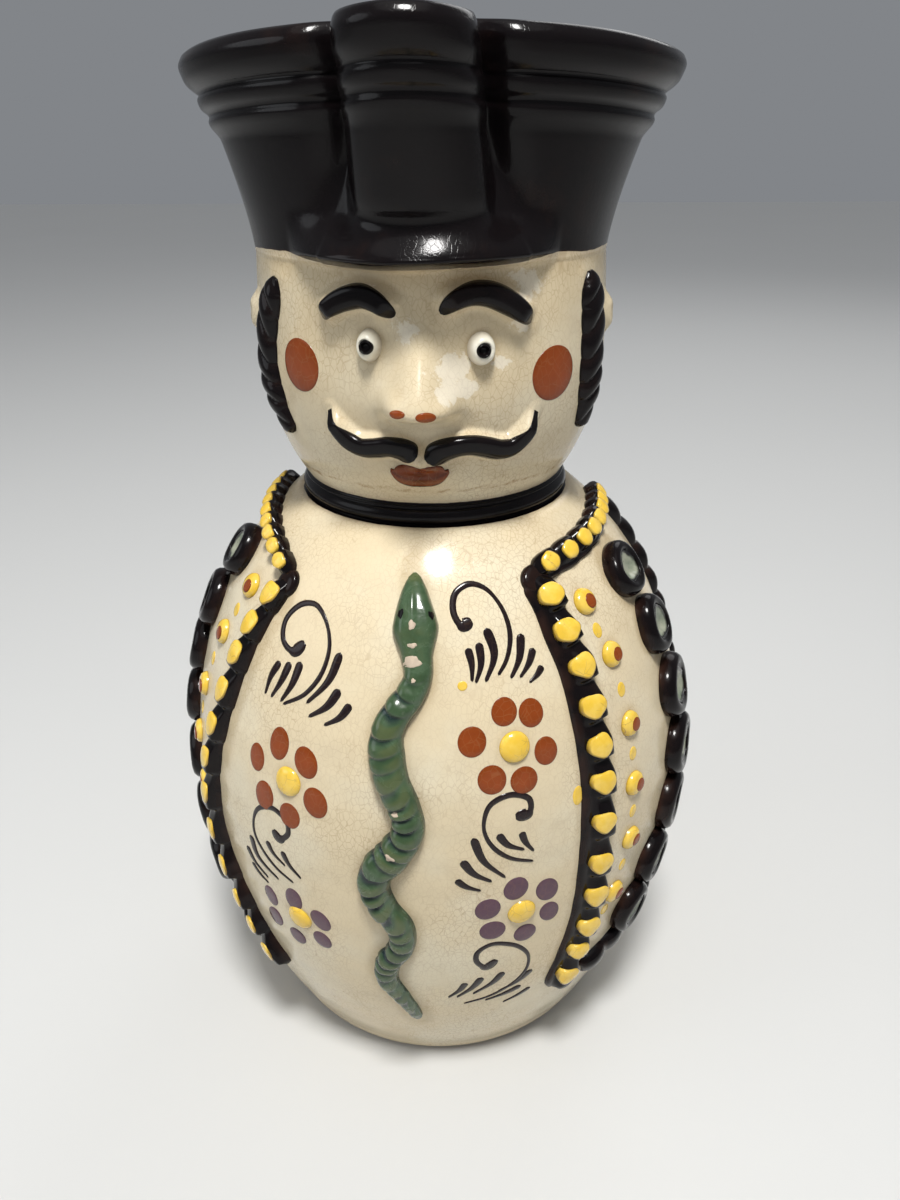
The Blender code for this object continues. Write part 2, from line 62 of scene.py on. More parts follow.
# How far the edges of what is laid on reach into the wall
ROOT = -0.8
# Distances past the black glaze's edge, where all or nothing is black
ALL_BLACK = 20.0
NO_BLACK = -20.0
# Radii of the shoulder's ledge under the collar, and the radius where its black ring begins
LEDGE = (40.6, 39.6, 38.6)
BLACK_RING = 39.9
# Where a bead sits along its own stretch of border
BEAD_PLACE = 0.54
# Half widths and half heights of what is pressed or painted on
KNOB, KNOB_SPOT, DAB = (3.8, 3.8), (1.9, 2.05), (1.7, 2.2)
FLOWER_HEART, PUPIL = (4.2, 4.3), (2.02, 2.24)
# Whole widths, left and right
BROW_WIDTHS, MOUSTACHE_WIDTHS, LOCK_WIDTHS = (5.7, 5.9), (6.6, 6.8), (8.6, 9.6)
LOCK_TWISTS = 6.6
BACK_BORDER_WIDTH, BACK_BORDER_SCALES = 8.6, 19.0
# The peak's middle, the height where the hat's black stops, and that of the brown seam over the collar
VISOR_TURN, BLACK_EDGE, SEAM_HEIGHT = 1.5, 252.7, 195.2
# The handle: how far it stands out, its upper and lower ends, half its width above and what it loses below
HANDLE_REACH = 43.0
HANDLE_TOP = 284.0
HANDLE_FOOT = 155.0
HANDLE_HALF = 12.6
HANDLE_TAPER = 2.4
HANDLE_THICK = 4.9
# The camera: its turn and distance from the axis and its height, where it looks, and its lens
CAMERA_TURN, CAMERA_DISTANCE, CAMERA_HEIGHT = 4.5, 0.27356, 0.280
CAMERA_HEADING, CAMERA_DROP, CAMERA_ROLL = 3.6, 26.75, -0.45
FOCAL_LENGTH, SENSOR_WIDTH = 28.05, 36.0
# Soft lamps: name, place, size, power and tone, all aimed at one height on the axis
LAMPS = (
    ("key", (0.06, -0.46, 1.20), 0.25, 14.8, (1.0, 0.99, 0.965)),
    ("fill", (-1.1, -0.4, 0.7), 0.8, 2.4, (0.92, 0.96, 1.0)),
    ("back", (0.5, 1.1, 1.1), 0.8, 3.0, (1.0, 1.0, 1.0)),
)
AIM_HEIGHT = 0.16
SKY_POWER, SKY_SPREAD, SKY_TILT = 0.42, 60.0, 12.0
WORLD_TONE, WORLD_POWER = (0.86, 0.90, 0.96, 1.0), 0.26
FLOOR_HALF = 4


def length(name, description, default):
    return FloatProperty(name=name, description=description, default=default * MM, unit="LENGTH", min=0.0)


def colour(name, description, default):
    return FloatVectorProperty(
        name=name, description=description, default=default, subtype="COLOR", size=3, min=0.0, max=1.0
    )


class JugSizes(bpy.types.PropertyGroup):
    """Sizes of the vessel and of what is laid on it"""

    belly_radius: length("Belly radius", "Widest radius of the body", 80.0)
    belly_height: length("Belly height", "Height of the widest place", 97.0)
    belly_drop: length("Belly drop", "Half height of the lower body's oval", 138.0)
    shoulder_rise: length("Shoulder rise", "Half height of the upper body's oval", 101.5)
    foot_radius: length("Foot radius", "Radius of the flat underside", 53.0)
    foot_rounding: length("Foot rounding", "Rounding at the foot", 4.0)
    collar_foot: length("Collar foot", "Height where the collar begins", 184.0)
    collar_depth: length("Collar depth", "Height of the collar", 6.0)
    collar_swell: length("Collar swell", "How far the collar stands out", 1.9)
    neck_radius: length("Neck radius", "Smallest radius of the neck", 37.8)
    head_radius: length("Head radius", "Widest radius of the head", 48.5)
    head_height: length("Head height", "Height of the head's widest place", 225.0)
    chin_drop: length("Chin drop", "Half height of the head's lower oval", 56.0)
    crown_rise: length("Crown rise", "Half height of the head's upper oval", 130.0)
    wall: length("Wall", "Thickness of the body's wall", 5.0)
    floor: length("Floor", "Thickness of the floor", 6.0)
    hat_foot: length("Hat foot", "Height where the hat begins", 251.5)
    hat_radius: length("Hat radius", "Radius of the hat's foot", 47.6)
    hat_wall: length("Hat wall", "Thickness of the hat's wall", 4.5)
    rim_height: length("Rim height", "Height of the rim at front and back", 300.0)
    rim_droop: length("Rim droop", "How far the rim dips at the sides", 4.0)
    spout_lift: length("Spout lift", "How far the rim rises at the spout", 2.0)
    left_lobe_reach: length("Left lobe reach", "How far the hat flares at the viewer's left", 13.0)
    right_lobe_reach: length("Right lobe reach", "How far the hat flares at the viewer's right", 14.8)
    end_reach: length("End reach", "How far the hat flares at the back", 3.0)
    spout_front: length("Spout front", "Distance of the spout's front from the axis at the rim", 66.0)
    spout_half: length("Spout half width", "Half width of the spout at the rim", 14.0)
    spout_foot_front: length("Spout foot front", "The same distance at the spout's foot", 53.5)
    spout_foot_half: length("Spout foot half width", "The same half width at the spout's foot", 17.5)
    crease_depth: length("Crease depth", "Depth of the valley beside the spout", 5.2)
    visor_reach: length("Visor reach", "How far the peak stands out over the forehead", 10.0)
    visor_height: length("Visor height", "Height of the peak's edge", 254.6)
    border_width: length("Border width", "Width of the beaded border", 12.6)
    button_radius: length("Button radius", "Radius of a pressed button", 8.8)
    button_lift: length("Button lift", "How far a button stands out", 4.7)


class JugColours(bpy.types.PropertyGroup):
    """Colours of the glazes, as linear values"""

    cream: colour("Cream glaze", "Ground colour of body and face", (0.72, 0.61, 0.42))
    cream_pale: colour("Pale cream", "Where the white slip lies thicker", (0.78, 0.73, 0.58))
    slip: colour("White slip", "Where the clear glaze has worn off the slip", (0.86, 0.84, 0.77))
    stain: colour("Stain", "Brown in the crackle", (0.30, 0.17, 0.07))
    # Brown for grime and for painted shade beside the relief, under the visor and under the collar
    grime: colour("Grime", "What has settled beside the relief", (0.34, 0.235, 0.105))
    black: colour("Black glaze", "Hat, border, buttons, hair", (0.0045, 0.0032, 0.0036))
    black_thin: colour("Thin black glaze", "Where the black glaze runs thin", (0.045, 0.020, 0.013))
    yellow: colour("Yellow glaze", "Beads, knobs and flower hearts", (0.78, 0.50, 0.045))
    yellow_pale: colour("Pale yellow", "Where the yellow lies thick", (0.85, 0.61, 0.13))
    yellow_edge: colour("Yellow's edge", "The rim of each yellow pad", (0.19, 0.105, 0.015))
    brown: colour("Brown paint", "Petals, cheeks and lips", (0.235, 0.046, 0.007))
    brush: colour("Brush black", "The scrolls and strokes", (0.013, 0.007, 0.008))
    purple: colour("Purple paint", "Petals low on the body", (0.105, 0.052, 0.075))
    green: colour("Green glaze", "The snake", (0.034, 0.066, 0.027))
    green_pale: colour("Pale green", "The snake where the glaze thickens", (0.060, 0.105, 0.052))
    # Painted shade in the snake's folds and along its edges
    green_deep: colour("Deep green", "The snake's folds", (0.006, 0.019, 0.020))
    olive: colour("Olive", "The lips of the snake's folds", (0.085, 0.105, 0.040))
    celadon: colour("Grey green", "The hollow of each button", (0.17, 0.20, 0.145))
    celadon_pale: colour("Pale grey green", "The thick glaze in each hollow", (0.32, 0.33, 0.25))
    amber: colour("Amber glaze", "Inside the vessel", (0.22, 0.10, 0.035))
    eye_white: colour("Eye white", "The domes of the eyes", (0.78, 0.75, 0.66))
    chip: colour("Chip", "Clay bared by a knock", (0.62, 0.50, 0.38))
    clay: colour("Bare clay", "The unglazed foot", (0.42, 0.22, 0.12))
    floor: colour("Floor", "The plain ground it stands on", (0.64, 0.64, 0.63))


def smooth(value, low, high):
    """0 below low, 1 above high, and the cubic 3s^2 - 2s^3 of the share between them."""
    share = np.clip((value - low) / (high - low), 0.0, 1.0)
    return share * share * (3.0 - 2.0 * share)


def hump(value, centre, reach):
    """A bell of height 1: exp of minus the squared distance over reach."""
    return np.exp(-(((value - centre) / reach) ** 2))


def ellipse(radius, distance, reach):
    """Half width of an oval at a distance from its widest place."""
    return radius * np.sqrt(np.clip(1.0 - (distance / reach) ** 2, 0.0, None))


def crowned(value, power):
    """1 in the middle and 0 at -1 and 1: a half circle's formula, with a power in place of the square."""
    return np.sqrt(np.clip(1.0 - np.abs(value) ** power, 0.0, 1.0))


def blunt(share, reach):
    """A quarter circle that climbs from 0 to 1 over reach."""
    return crowned(1.0 - np.clip(share / reach, 0.0, 1.0), 2)


def around(sides):
    """Angles of points spread evenly round a ring."""
    return np.linspace(0.0, 2 * np.pi, sides, endpoint=False)


def ring_values(*values):
    """One value for each ring of a tube, as a column."""
    return np.array(values, float)[:, None]


def with_edges(values):
    """The columns, with the first and the last doubled for the root points under either edge."""
    return np.pad(values, ((0, 0), (1, 1)), mode="edge")


def curve(places, knots, values):
    """Cubic Hermite curve through values at knots, with tangents from the neighbouring knots."""
    knots, values = np.asarray(knots, float), np.asarray(values, float)
    slopes = np.gradient(values, knots, axis=0)
    place = np.clip(places, knots[0], knots[-1])
    index = np.clip(np.searchsorted(knots, place, side="right") - 1, 0, len(knots) - 2)
    gap = (knots[index + 1] - knots[index])[:, None]
    t = ((place - knots[index])[:, None]) / gap
    before, after = values[index], values[index + 1]
    return (
        before * (2 * t**3 - 3 * t**2 + 1)
        + slopes[index] * gap * (t**3 - 2 * t**2 + t)
        + after * (3 * t**2 - 2 * t**3)
        + slopes[index + 1] * gap * (t**3 - t**2)
    )


def way_through(points, count):
    """count places spread evenly along the Hermite curve through (turn, height) points."""
    points = np.asarray(points, float)
    steps = np.hypot(np.diff(points[:, 0]) * 1.1, np.diff(points[:, 1]))
    knots = np.concatenate([[0.0], np.cumsum(steps)])
    return curve(np.linspace(0.0, knots[-1], count), knots, points)


def polar(turn, radius, height):
    """Points at turns in degrees from the front, radii and heights."""
    turn = np.radians(turn)
    return np.stack(np.broadcast_arrays(radius * np.sin(turn), -radius * np.cos(turn), height), axis=-1)


def unit(vectors):
    return vectors / np.maximum(np.linalg.norm(vectors, axis=-1, keepdims=True), 1e-12)


def trail(turn, height, way, scale):
    """Distance from each place to a polyline on the wall, and how far along it the nearest point lies.

    Places are flattened to arc length, scale millimetres a degree; the nearest point of every segment
    is the clamped projection onto it.
    """
    x, z = turn * scale, height
    line = np.asarray(way, float) * (scale, 1.0)
    best = np.full(np.shape(x), 1e9)
    along = np.zeros(np.shape(x))
    for k in range(len(line) - 1):
        start, step = line[k], line[k + 1] - line[k]
        share = np.clip(((x - start[0]) * step[0] + (z - start[1]) * step[1]) / (step @ step), 0.0, 1.0)
        gap = np.hypot(x - start[0] - share * step[0], z - start[1] - share * step[1])
        nearer = gap < best
        best = np.where(nearer, gap, best)
        along = np.where(nearer, (k + share) / (len(line) - 1), along)
    return best, along


# Places on the wall as (turn, height), read off for this one hand-made piece
BROWS = (
    ((-28.5, 239.5), (-25.0, 242.2), (-19.5, 244.6), (-15.0, 245.3), (-10.5, 244.0), (-6.0, 240.8)),
    ((6.6, 241.4), (10.0, 244.3), (14.5, 245.8), (20.0, 245.6), (26.0, 243.2), (33.5, 238.2)),
)
MOUSTACHE = (
    ((-1.4, 206.0), (-4.7, 208.0), (-8.8, 208.9), (-13.3, 208.3), (-17.8, 208.0), (-21.5, 209.3),
     (-24.6, 212.0), (-28.2, 217.0)),
    ((2.3, 205.4), (6.4, 207.6), (11.1, 209.0), (15.3, 209.2), (19.6, 208.4), (24.3, 207.2),
     (28.2, 207.3), (31.8, 209.6), (36.8, 216.0)),
)
EYES = ((-14.1, 233.8, 3.0, 3.8), (18.4, 232.9, 3.4, 3.9))
NOSE_TURN = 0.6
SIDE_LOCKS = (
    ((-49.3, 247.2), (-51.4, 242.7), (-54.2, 237.0), (-56.2, 230.6), (-56.4, 224.3), (-54.8, 218.2),
     (-52.6, 212.6), (-49.3, 207.4)),
    ((59.6, 248.0), (60.6, 241.9), (61.2, 236.4), (61.4, 230.3), (61.4, 224.1), (61.9, 217.5),
     (62.1, 212.1), (62.3, 207.4)),
)
EARS = ((-68.0, 237.0), (76.0, 236.0))
LIPS = (-9.8, 8.8, 204.0, 197.3)
CHEEKS = ((-39.3, 226.9, 6.6, 6.7, 8), (43.3, 224.8, 7.2, 6.9, -6))
NOSTRILS = ((-4.2, 220.0, 1.7, 1.0, -10), (2.6, 219.6, 2.0, 1.25, 5))

SNAKE = (
    (-1.9, 175.6), (-1.5, 170.0), (-0.9, 164.0), (-0.3, 158.5), (0.1, 153.9), (-1.5, 149.3),
    (-4.5, 144.5),
    (-6.2, 139.0), (-6.0, 133.6), (-4.9, 127.4), (-2.6, 120.5), (-1.7, 113.6), (-4.6, 105.6), (-8.3, 98.6),
    (-8.9, 94.5), (-7.3, 86.4), (-4.1, 79.2), (-4.0, 70.4), (-6.9, 63.4), (-7.9, 54.4), (-5.0, 44.6),
    (-2.3, 34.0), (-2.0, 31.0),
)
SNAKE_LENGTH = 151.5
# Half width and lift of the snake against the distance from its snout
SNAKE_WIDTHS = (
    (0, 0.8, 1.8, 3.7, 6.2, 8.6, 11.1, 12.4, 14.3, 16.2, 18.1, 20.1, 22.1, 27.3, 33.5, 38.9,
     43.4, 51.2, 59.7, 67.9, 75.0, 86.0, 96.0, 104.0, 114.0, 122.6, 131.0, 141.5, 149.5, 151.0, 151.5),
    (0.5, 1.6, 2.3, 3.4, 4.4, 5.3, 6.0, 6.0, 5.4, 4.6, 4.1, 3.85, 3.8, 4.0, 4.2, 4.6, 4.9, 4.6, 4.4, 4.6,
     5.1, 4.6, 4.2, 4.0, 3.8, 3.8, 3.2, 2.4, 1.9, 1.5, 0.8),
)
SNAKE_LIFTS = (
    (0, 2, 5, 8, 13, 18, 25, 40, 55, 80, 98, 116, 134, 147, 151.5),
    (0.6, 2.2, 3.4, 4.0, 4.0, 3.9, 4.2, 4.6, 4.7, 4.7, 4.4, 3.6, 2.7, 2.0, 0.9),
)
# Eyes (0) and chips (1) on its back: distance from the snout, place across, half sizes across and along
SNAKE_MARKS = (
    (9.4, -0.78, (0.72, 0.85), 0), (8.8, 0.60, (0.80, 0.90), 0), (11.2, 0.08, (0.85, 0.95), 1),
    (15.4, 0.14, (1.2, 0.55), 1), (18.9, 0.30, (2.3, 1.25), 1), (23.0, 0.15, (0.55, 0.55), 1),
    (57.5, 0.40, (0.9, 0.7), 1), (72.4, 0.20, (1.5, 0.9), 1),
)
RIGHT_BEADS = (
    (34.9, 167.6), (36.0, 159.5), (37.5, 150.7), (37.9, 140.3), (38.3, 129.6), (38.5, 119.0), (38.2, 106.6),
    (38.1, 92.3), (38.0, 79.6), (37.6, 66.4), (36.4, 56.2), (34.9, 45.4),
)
LEFT_BEADS = (
    (-41.9, 164.6), (-44.8, 156.0), (-46.6, 147.8), (-48.5, 136.6), (-50.5, 124.9), (-52.7, 112.8),
    (-53.7, 99.6), (-54.0, 85.4), (-51.6, 73.0), (-48.4, 62.2), (-45.4, 52.6), (-42.0, 44.0),
)
RIGHT_ENDS = ((33.4, 172.2), (33.8, 36.6))
LEFT_ENDS = ((-40.4, 168.6), (-39.0, 37.6))
RIGHT_NECKLINE = (
    (34.0, 173.0), (38.4, 173.6), (47.3, 174.5), (56.0, 175.2), (63.8, 175.8), (71.2, 176.4), (78.2, 176.9),
    (85.0, 177.3), (91.8, 177.6), (98.4, 177.8),
)
LEFT_NECKLINE = (
    (-41.2, 170.2), (-45.1, 171.4), (-51.6, 173.2), (-58.3, 174.6), (-64.9, 175.8), (-71.7, 176.8),
    (-78.6, 177.6), (-85.6, 178.1), (-92.6, 178.3), (-99.6, 178.3), (-106.4, 178.2),
)
BACK_BORDER = (
    (97, 176.0), (100, 164.0), (100, 150.0), (99, 125.0), (96, 101.0), (88, 78.0), (77, 60.0), (63, 47.0),
    (42, 38.0),
)
MIRROR_TURN = -5.0
# Pressed buttons as (turn, height, share of the usual radius)
RIGHT_BUTTONS = (
    (67.8, 164.4, 0.94), (70.3, 147.3, 1.0), (72.1, 126.6, 1.09), (72.2, 106.2, 1.10), (69.6, 87.0, 1.08),
    (63.4, 69.6, 1.04), (56.5, 54.6, 1.0),
)
LEFT_BUTTONS = (
    (-73.5, 166.0, 0.94), (-78.5, 148.2, 1.0), (-82.0, 130.0, 1.05), (-83.0, 110.0, 1.08),
    (-80.0, 90.5, 1.06), (-74.5, 73.0, 1.02), (-68.0, 58.0, 1.0),
)
RIGHT_KNOBS = ((46.6, 163.6), (49.1, 149.2), (49.8, 129.1), (49.6, 110.1), (49.6, 90.2), (46.8, 70.5))
LEFT_KNOBS = ((-56.1, 162.8), (-61.2, 147.2), (-65.8, 127.5), (-68.0, 109.0), (-67.5, 90.5), (-63.5, 72.5))
RIGHT_DABS = ((47.2, 156.2), (49.4, 139.2), (49.9, 119.6), (49.6, 100.2), (48.4, 80.2), (45.2, 63.5))
LEFT_DABS = ((-58.6, 155.0), (-63.6, 137.4), (-67.0, 118.4), (-68.0, 99.8), (-65.8, 81.6), (-60.8, 64.5))

# Pale patches on the face: turn, height, half width in degrees, half height
PALE_PATCHES = (
    (9.5, 229.5, 7.0, 4.5), (8.0, 224.5, 5.0, 4.5), (14.0, 224.0, 6.0, 3.0), (33.0, 247.0, 8.0, 4.0),
    (30.0, 238.0, 5.0, 4.0), (-3.0, 237.0, 5.0, 5.0), (-17.0, 246.0, 7.0, 3.5), (24.0, 229.5, 4.0, 2.0),
)

# Flowers: heart, then petals as (turn, height, half width, half height, lean)
BROWN_FLOWERS = (
    ((20.0, 134.7), ((18.4, 144.0, 3.5, 3.9, 8), (24.3, 142.5, 3.5, 4.0, -8), (26.7, 131.8, 3.4, 4.1, -6),
                     (21.5, 125.2, 3.9, 3.9, 10), (14.9, 126.8, 3.9, 4.2, -16), (11.2, 137.4, 3.8, 4.2, 6))),
    ((-27.8, 120.2), ((-30.9, 129.9, 3.4, 4.9, 6), (-36.9, 122.9, 3.0, 4.3, 0), (-23.7, 127.4, 3.7, 4.6, -20),
                      (-21.1, 116.5, 3.8, 4.6, -14), (-27.4, 109.5, 3.6, 4.1, 4), (-34.3, 112.3, 3.6, 4.8, 10))),
)
PURPLE_FLOWERS = (
    ((21.2, 80.7), ((19.7, 90.3, 3.7, 4.2, 6), (26.7, 86.8, 3.5, 4.4, -22), (27.7, 77.4, 3.1, 4.1, -20),
                    (22.4, 71.1, 3.5, 3.7, -12), (15.1, 75.2, 3.9, 3.7, 12), (13.9, 84.2, 3.7, 4.0, 20))),
    ((-28.0, 70.4), ((-36.4, 72.6, 2.8, 4.1, 0), (-28.9, 77.2, 3.2, 4.6, 8), (-22.3, 72.8, 3.4, 4.2, -16),
                     (-22.8, 63.9, 3.2, 3.6, -10), (-30.2, 60.0, 3.2, 3.4, 0), (-36.6, 63.2, 3.1, 4.2, 12))),
)
YELLOW_DABS = ((9.8, 151.2, 1.3, 1.3, 0), (33.4, 116.0, 1.7, 2.9, 6))

# Brush scrolls with a blob where the brush set down, and the tapering strokes under them
SCROLLS = (
    ((13.2, 165.4), (10.6, 164.6), (8.8, 167.2), (9.2, 170.8), (13.0, 173.0), (18.2, 171.8), (21.8, 167.0),
     (22.4, 161.4), (20.6, 156.2), (18.0, 152.8)),
    ((19.4, 115.0), (22.2, 115.4), (22.4, 119.4), (18.6, 121.8), (14.8, 120.2), (13.0, 114.6), (14.6, 106.8),
     (18.4, 101.8), (23.2, 99.0)),
    ((16.4, 61.4), (14.2, 58.6), (12.2, 61.4), (12.2, 66.4), (15.0, 69.0), (19.4, 67.2), (23.6, 61.0),
     (24.2, 53.4), (21.4, 46.6), (16.4, 42.4), (9.6, 39.6)),
    ((-29.0, 157.0), (-31.6, 154.2), (-35.4, 155.6), (-37.0, 160.4), (-34.0, 164.8), (-29.0, 166.0),
     (-24.4, 162.8), (-22.0, 157.6), (-22.6, 151.4), (-25.6, 145.6), (-31.4, 140.6)),
    ((-32.2, 101.8), (-30.8, 99.8), (-28.2, 102.6), (-28.4, 107.2), (-31.8, 109.4), (-35.6, 107.4),
     (-38.0, 102.4), (-38.2, 96.2), (-36.0, 91.0), (-32.4, 87.2), (-28.0, 84.8)),
)
STROKES = (
    ((11.6, 159.6), (12.2, 156.4), (12.0, 152.0)), ((14.4, 160.6), (14.4, 156.0), (12.8, 151.6)),
    ((16.6, 163.6), (17.8, 158.0), (15.0, 151.6)), ((25.2, 161.2), (23.8, 156.2), (20.8, 151.6)),
    ((27.6, 157.4), (25.8, 154.4), (23.0, 151.4)), ((28.8, 153.0), (27.4, 151.4), (25.0, 149.8)),
    ((15.8, 110.4), (17.8, 106.4), (21.2, 103.8)), ((20.6, 109.8), (21.4, 106.4), (23.2, 102.6)),
    ((10.8, 110.2), (13.0, 102.0), (17.4, 95.2)), ((8.6, 103.0), (11.0, 98.0), (14.6, 94.6)),
    ((7.4, 96.4), (9.4, 93.8), (12.4, 91.8)), ((9.8, 51.6), (8.4, 47.6), (5.8, 44.0)),
    ((13.4, 53.6), (11.4, 48.4), (7.8, 43.8)), ((18.4, 54.4), (16.0, 49.4), (11.6, 44.8)),
    ((25.6, 51.4), (22.8, 47.2), (17.6, 43.6)), ((23.6, 43.6), (19.8, 41.6), (14.8, 39.8)),
    ((26.4, 40.6), (23.4, 38.0), (19.6, 36.0)), ((-34.8, 150.6), (-36.4, 146.4), (-37.2, 141.0)),
    ((-31.8, 151.4), (-33.0, 146.4), (-35.2, 141.0)), ((-28.8, 152.4), (-29.8, 146.6), (-32.2, 141.0)),
    ((-18.8, 157.0), (-20.4, 150.4), (-25.2, 143.0)), ((-17.6, 148.4), (-19.8, 144.0), (-24.2, 139.8)),
    ((-14.6, 145.4), (-16.6, 141.8), (-20.2, 138.8)), ((-39.8, 94.4), (-38.6, 88.0), (-32.4, 82.8)),
    ((-42.0, 88.4), (-40.0, 84.0), (-36.0, 80.6)), ((-41.2, 82.4), (-39.4, 80.0), (-36.2, 78.2)),
    ((-34.4, 96.4), (-33.0, 92.8), (-29.8, 90.0)), ((-30.2, 95.4), (-28.8, 91.4), (-25.8, 87.8)),
)
RIM_SECTION = (
    (0.8, 1.5), (2.4, 2.8), (4.8, 3.2), (7.2, 2.8), (8.6, 1.7), (9.4, 1.0), (10.2, 1.7), (11.6, 2.0),
    (13.0, 1.7), (14.0, 0.8), (14.7, 0.7), (15.6, 1.25), (17.0, 1.25), (18.4, 0.6), (19.6, 0.12), (22.0, 0.0),
)


class Form:
    """The jug's wall as functions of turn and height, in millimetres and degrees."""

    def __init__(self, sizes):
        for name in JugSizes.__annotations__:
            setattr(self, name, getattr(sizes, name) / MM)
        self.spout_turns = (2.7, -0.8)
        self.crease_spread = 5.6
        self.visor_half = 43.0
        self.brow_ways = [way_through(way, 26) for way in BROWS]
        self.lip_hair_ways = [way_through(way, 30) for way in MOUSTACHE]

    def turned_radius(self, z):
        """Two half ovals for the body, a ridged collar, and two half ovals for the head."""
        low = ellipse(self.belly_radius, self.belly_height - z, self.belly_drop)
        high = ellipse(self.belly_radius, z - self.belly_height, self.shoulder_rise)
        rise = np.clip((z - self.collar_foot) / self.collar_depth, 0.0, 1.0)
        ridge = np.clip(np.sin(np.pi * np.clip(rise / 0.80, 0.0, 1.0)), 0.0, 1.0) ** 0.55
        lip = np.clip(np.sin(np.pi * np.clip((rise - 0.80) / 0.20, 0.0, 1.0)), 0.0, 1.0) ** 0.7
        collar = self.neck_radius + self.collar_swell * (ridge + 0.55 * lip)
        chin = np.maximum(ellipse(self.head_radius, self.head_height - z, self.chin_drop), self.neck_radius)
        crown = ellipse(self.head_radius, z - self.head_height, self.crown_rise)
        top = self.collar_foot + self.collar_depth
        return np.select(
            [z < self.belly_height, z < self.collar_foot, z < top, z < self.head_height],
            [low, high, collar, chin],
            crown,
        )

    def hollow_radius(self, z):
        """The same ovals, smaller by the wall, joined by a straight neck."""
        wall = self.wall
        low = ellipse(self.belly_radius - wall, self.belly_height - z, self.belly_drop - wall)
        high = ellipse(self.belly_radius - wall, z - self.belly_height, self.shoulder_rise - wall)
        chin = ellipse(self.head_radius - wall, self.head_height - z, self.chin_drop - wall)
        crown = ellipse(self.head_radius - wall, z - self.head_height, self.crown_rise)
        upper = np.where(z < self.head_height, chin, crown)
        return np.where(z < self.belly_height, low, np.maximum(np.maximum(high, self.neck_radius - wall), upper))

    def face_relief(self, turn, z):
        """Height of the modelled face over the head: bells and ridges added together.

        The nose is a bell across with a height that climbs to the tip and falls away under it; brows and
        moustache are round ridges along their ways; sockets, ears, chin and lips are shallow bells.
        """
        x = FACE_SCALE * turn
        across = x - FACE_SCALE * NOSE_TURN
        climb = smooth(z, 243.5, 218.4) ** 1.25
        drop = smooth(z, 214.4, 219.4)
        width = 3.3 + 3.6 * smooth(z, 240.0, 218.5)
        height = 9.8 * climb * drop * np.exp(-((across / width) ** 2))
        height += 2.5 * (hump(across, -5.9, 3.0) + hump(across, 5.9, 3.0)) * hump(z, 220.2, 3.1)
        height += 1.5 * hump(across, 0.0, 14.0) * hump(z, 218.5, 8.5)
        for way, size in zip(self.brow_ways, (3.3, 3.5)):
            gap, share = trail(turn, z, way + (0.0, 0.3), FACE_SCALE)
            ends = smooth(share, -0.05, 0.16) * smooth(1.0 - share, -0.05, 0.16)
            height += size * ends * (1.0 - smooth(gap, 1.2, 4.8))
        for way, size in zip(self.lip_hair_ways, (3.6, 3.7)):
            gap, share = trail(turn, z, way + (0.0, 0.35), FACE_SCALE)
            width = 4.3 - 1.6 * smooth(share, 0.65, 1.0)
            ends = (0.75 + 0.25 * smooth(share, 0.0, 0.22)) * smooth(1.0 - share, -0.04, 0.16)
            height += size * ends * (1.0 - smooth(gap, 1.2, width))
        for eye_turn, eye_z, _, _ in EYES:
            height -= 1.0 * hump(x, FACE_SCALE * eye_turn, 6.0) * hump(z, eye_z + 0.6, 4.6)
        lip_x = x + 0.4
        height += 2.6 * np.exp(-np.abs(lip_x / 8.6) ** 3.0) * hump(z, 200.6, 4.0)
        height -= 0.5 * np.exp(-np.abs(lip_x / 7.0) ** 4.0) * hump(z, 201.8, 0.7)
        height += 0.9 * hump(x, 0.0, 11.0) * hump(z, 196.0, 5.0)
        for ear_turn, ear_z in EARS:
            gap = np.hypot((turn - ear_turn) * FACE_SCALE / 0.62, (z - ear_z) / 1.15)
            height += 2.9 * (1.0 - smooth(gap, 1.2, 6.4)) - 1.1 * (1.0 - smooth(gap, 0.0, 3.0))
        for lock, cheek in zip(SIDE_LOCKS, CHEEKS):
            height += 0.25 * hump(turn, cheek[0], 9.0) * hump(z, cheek[1], 7.0)
            gap, _ = trail(turn, z, lock, FACE_SCALE)
            height += 0.4 * (1.0 - smooth(gap, 2.5, 7.0))
        inside = smooth(z, 190.6, 194.0) * (1.0 - smooth(z, 247.0, 250.5))
        return height * inside

    def unevenness(self, turn, z):
        """Slow swells left by the potter's hands: a few sine waves under a third of a millimetre."""
        t = np.radians(turn)
        swell = 0.16 * np.sin(2 * t + 0.05 * z) + 0.10 * np.sin(3 * t - 0.09 * z + 1.0)
        swell = swell + 0.06 * np.sin(0.62 * z + 2 * t) + 0.05 * np.sin(7 * t + 0.21 * z)
        return swell * smooth(z, 2.0, 14.0) * (1.0 - smooth(z, 176.0, 182.0))

    def wall_radius(self, turn, z):
        return self.turned_radius(z) + self.face_relief(turn, z) + self.unevenness(turn, z)

    def wall_point(self, turn, z):
        return polar(turn, self.wall_radius(turn, z), z)

    def wall_frame(self, turn, z):
        """Point, outward normal, level and upward tangents, by central differences."""
        point = self.wall_point(turn, z)
        level = self.wall_point(turn + 0.15, z) - self.wall_point(turn - 0.15, z)
        upward = self.wall_point(turn, z + 0.12) - self.wall_point(turn, z - 0.12)
        normal = unit(np.cross(level, upward))
        level = unit(level)
        return point, normal, level, np.cross(normal, level)

    def smooth_frame(self, turn, z):
        """Outward normal, level and upward tangents of the turned wall, the face left out."""
        rise = (self.turned_radius(z + 0.2) - self.turned_radius(z - 0.2)) / 0.4
        turn = np.radians(turn) + 0.0 * rise
        level = np.stack([np.cos(turn), np.sin(turn), 0.0 * turn], axis=-1)
        outward = unit(np.stack([np.sin(turn), -np.cos(turn), -rise + 0.0 * turn], axis=-1))
        return outward, level, np.cross(outward, level)

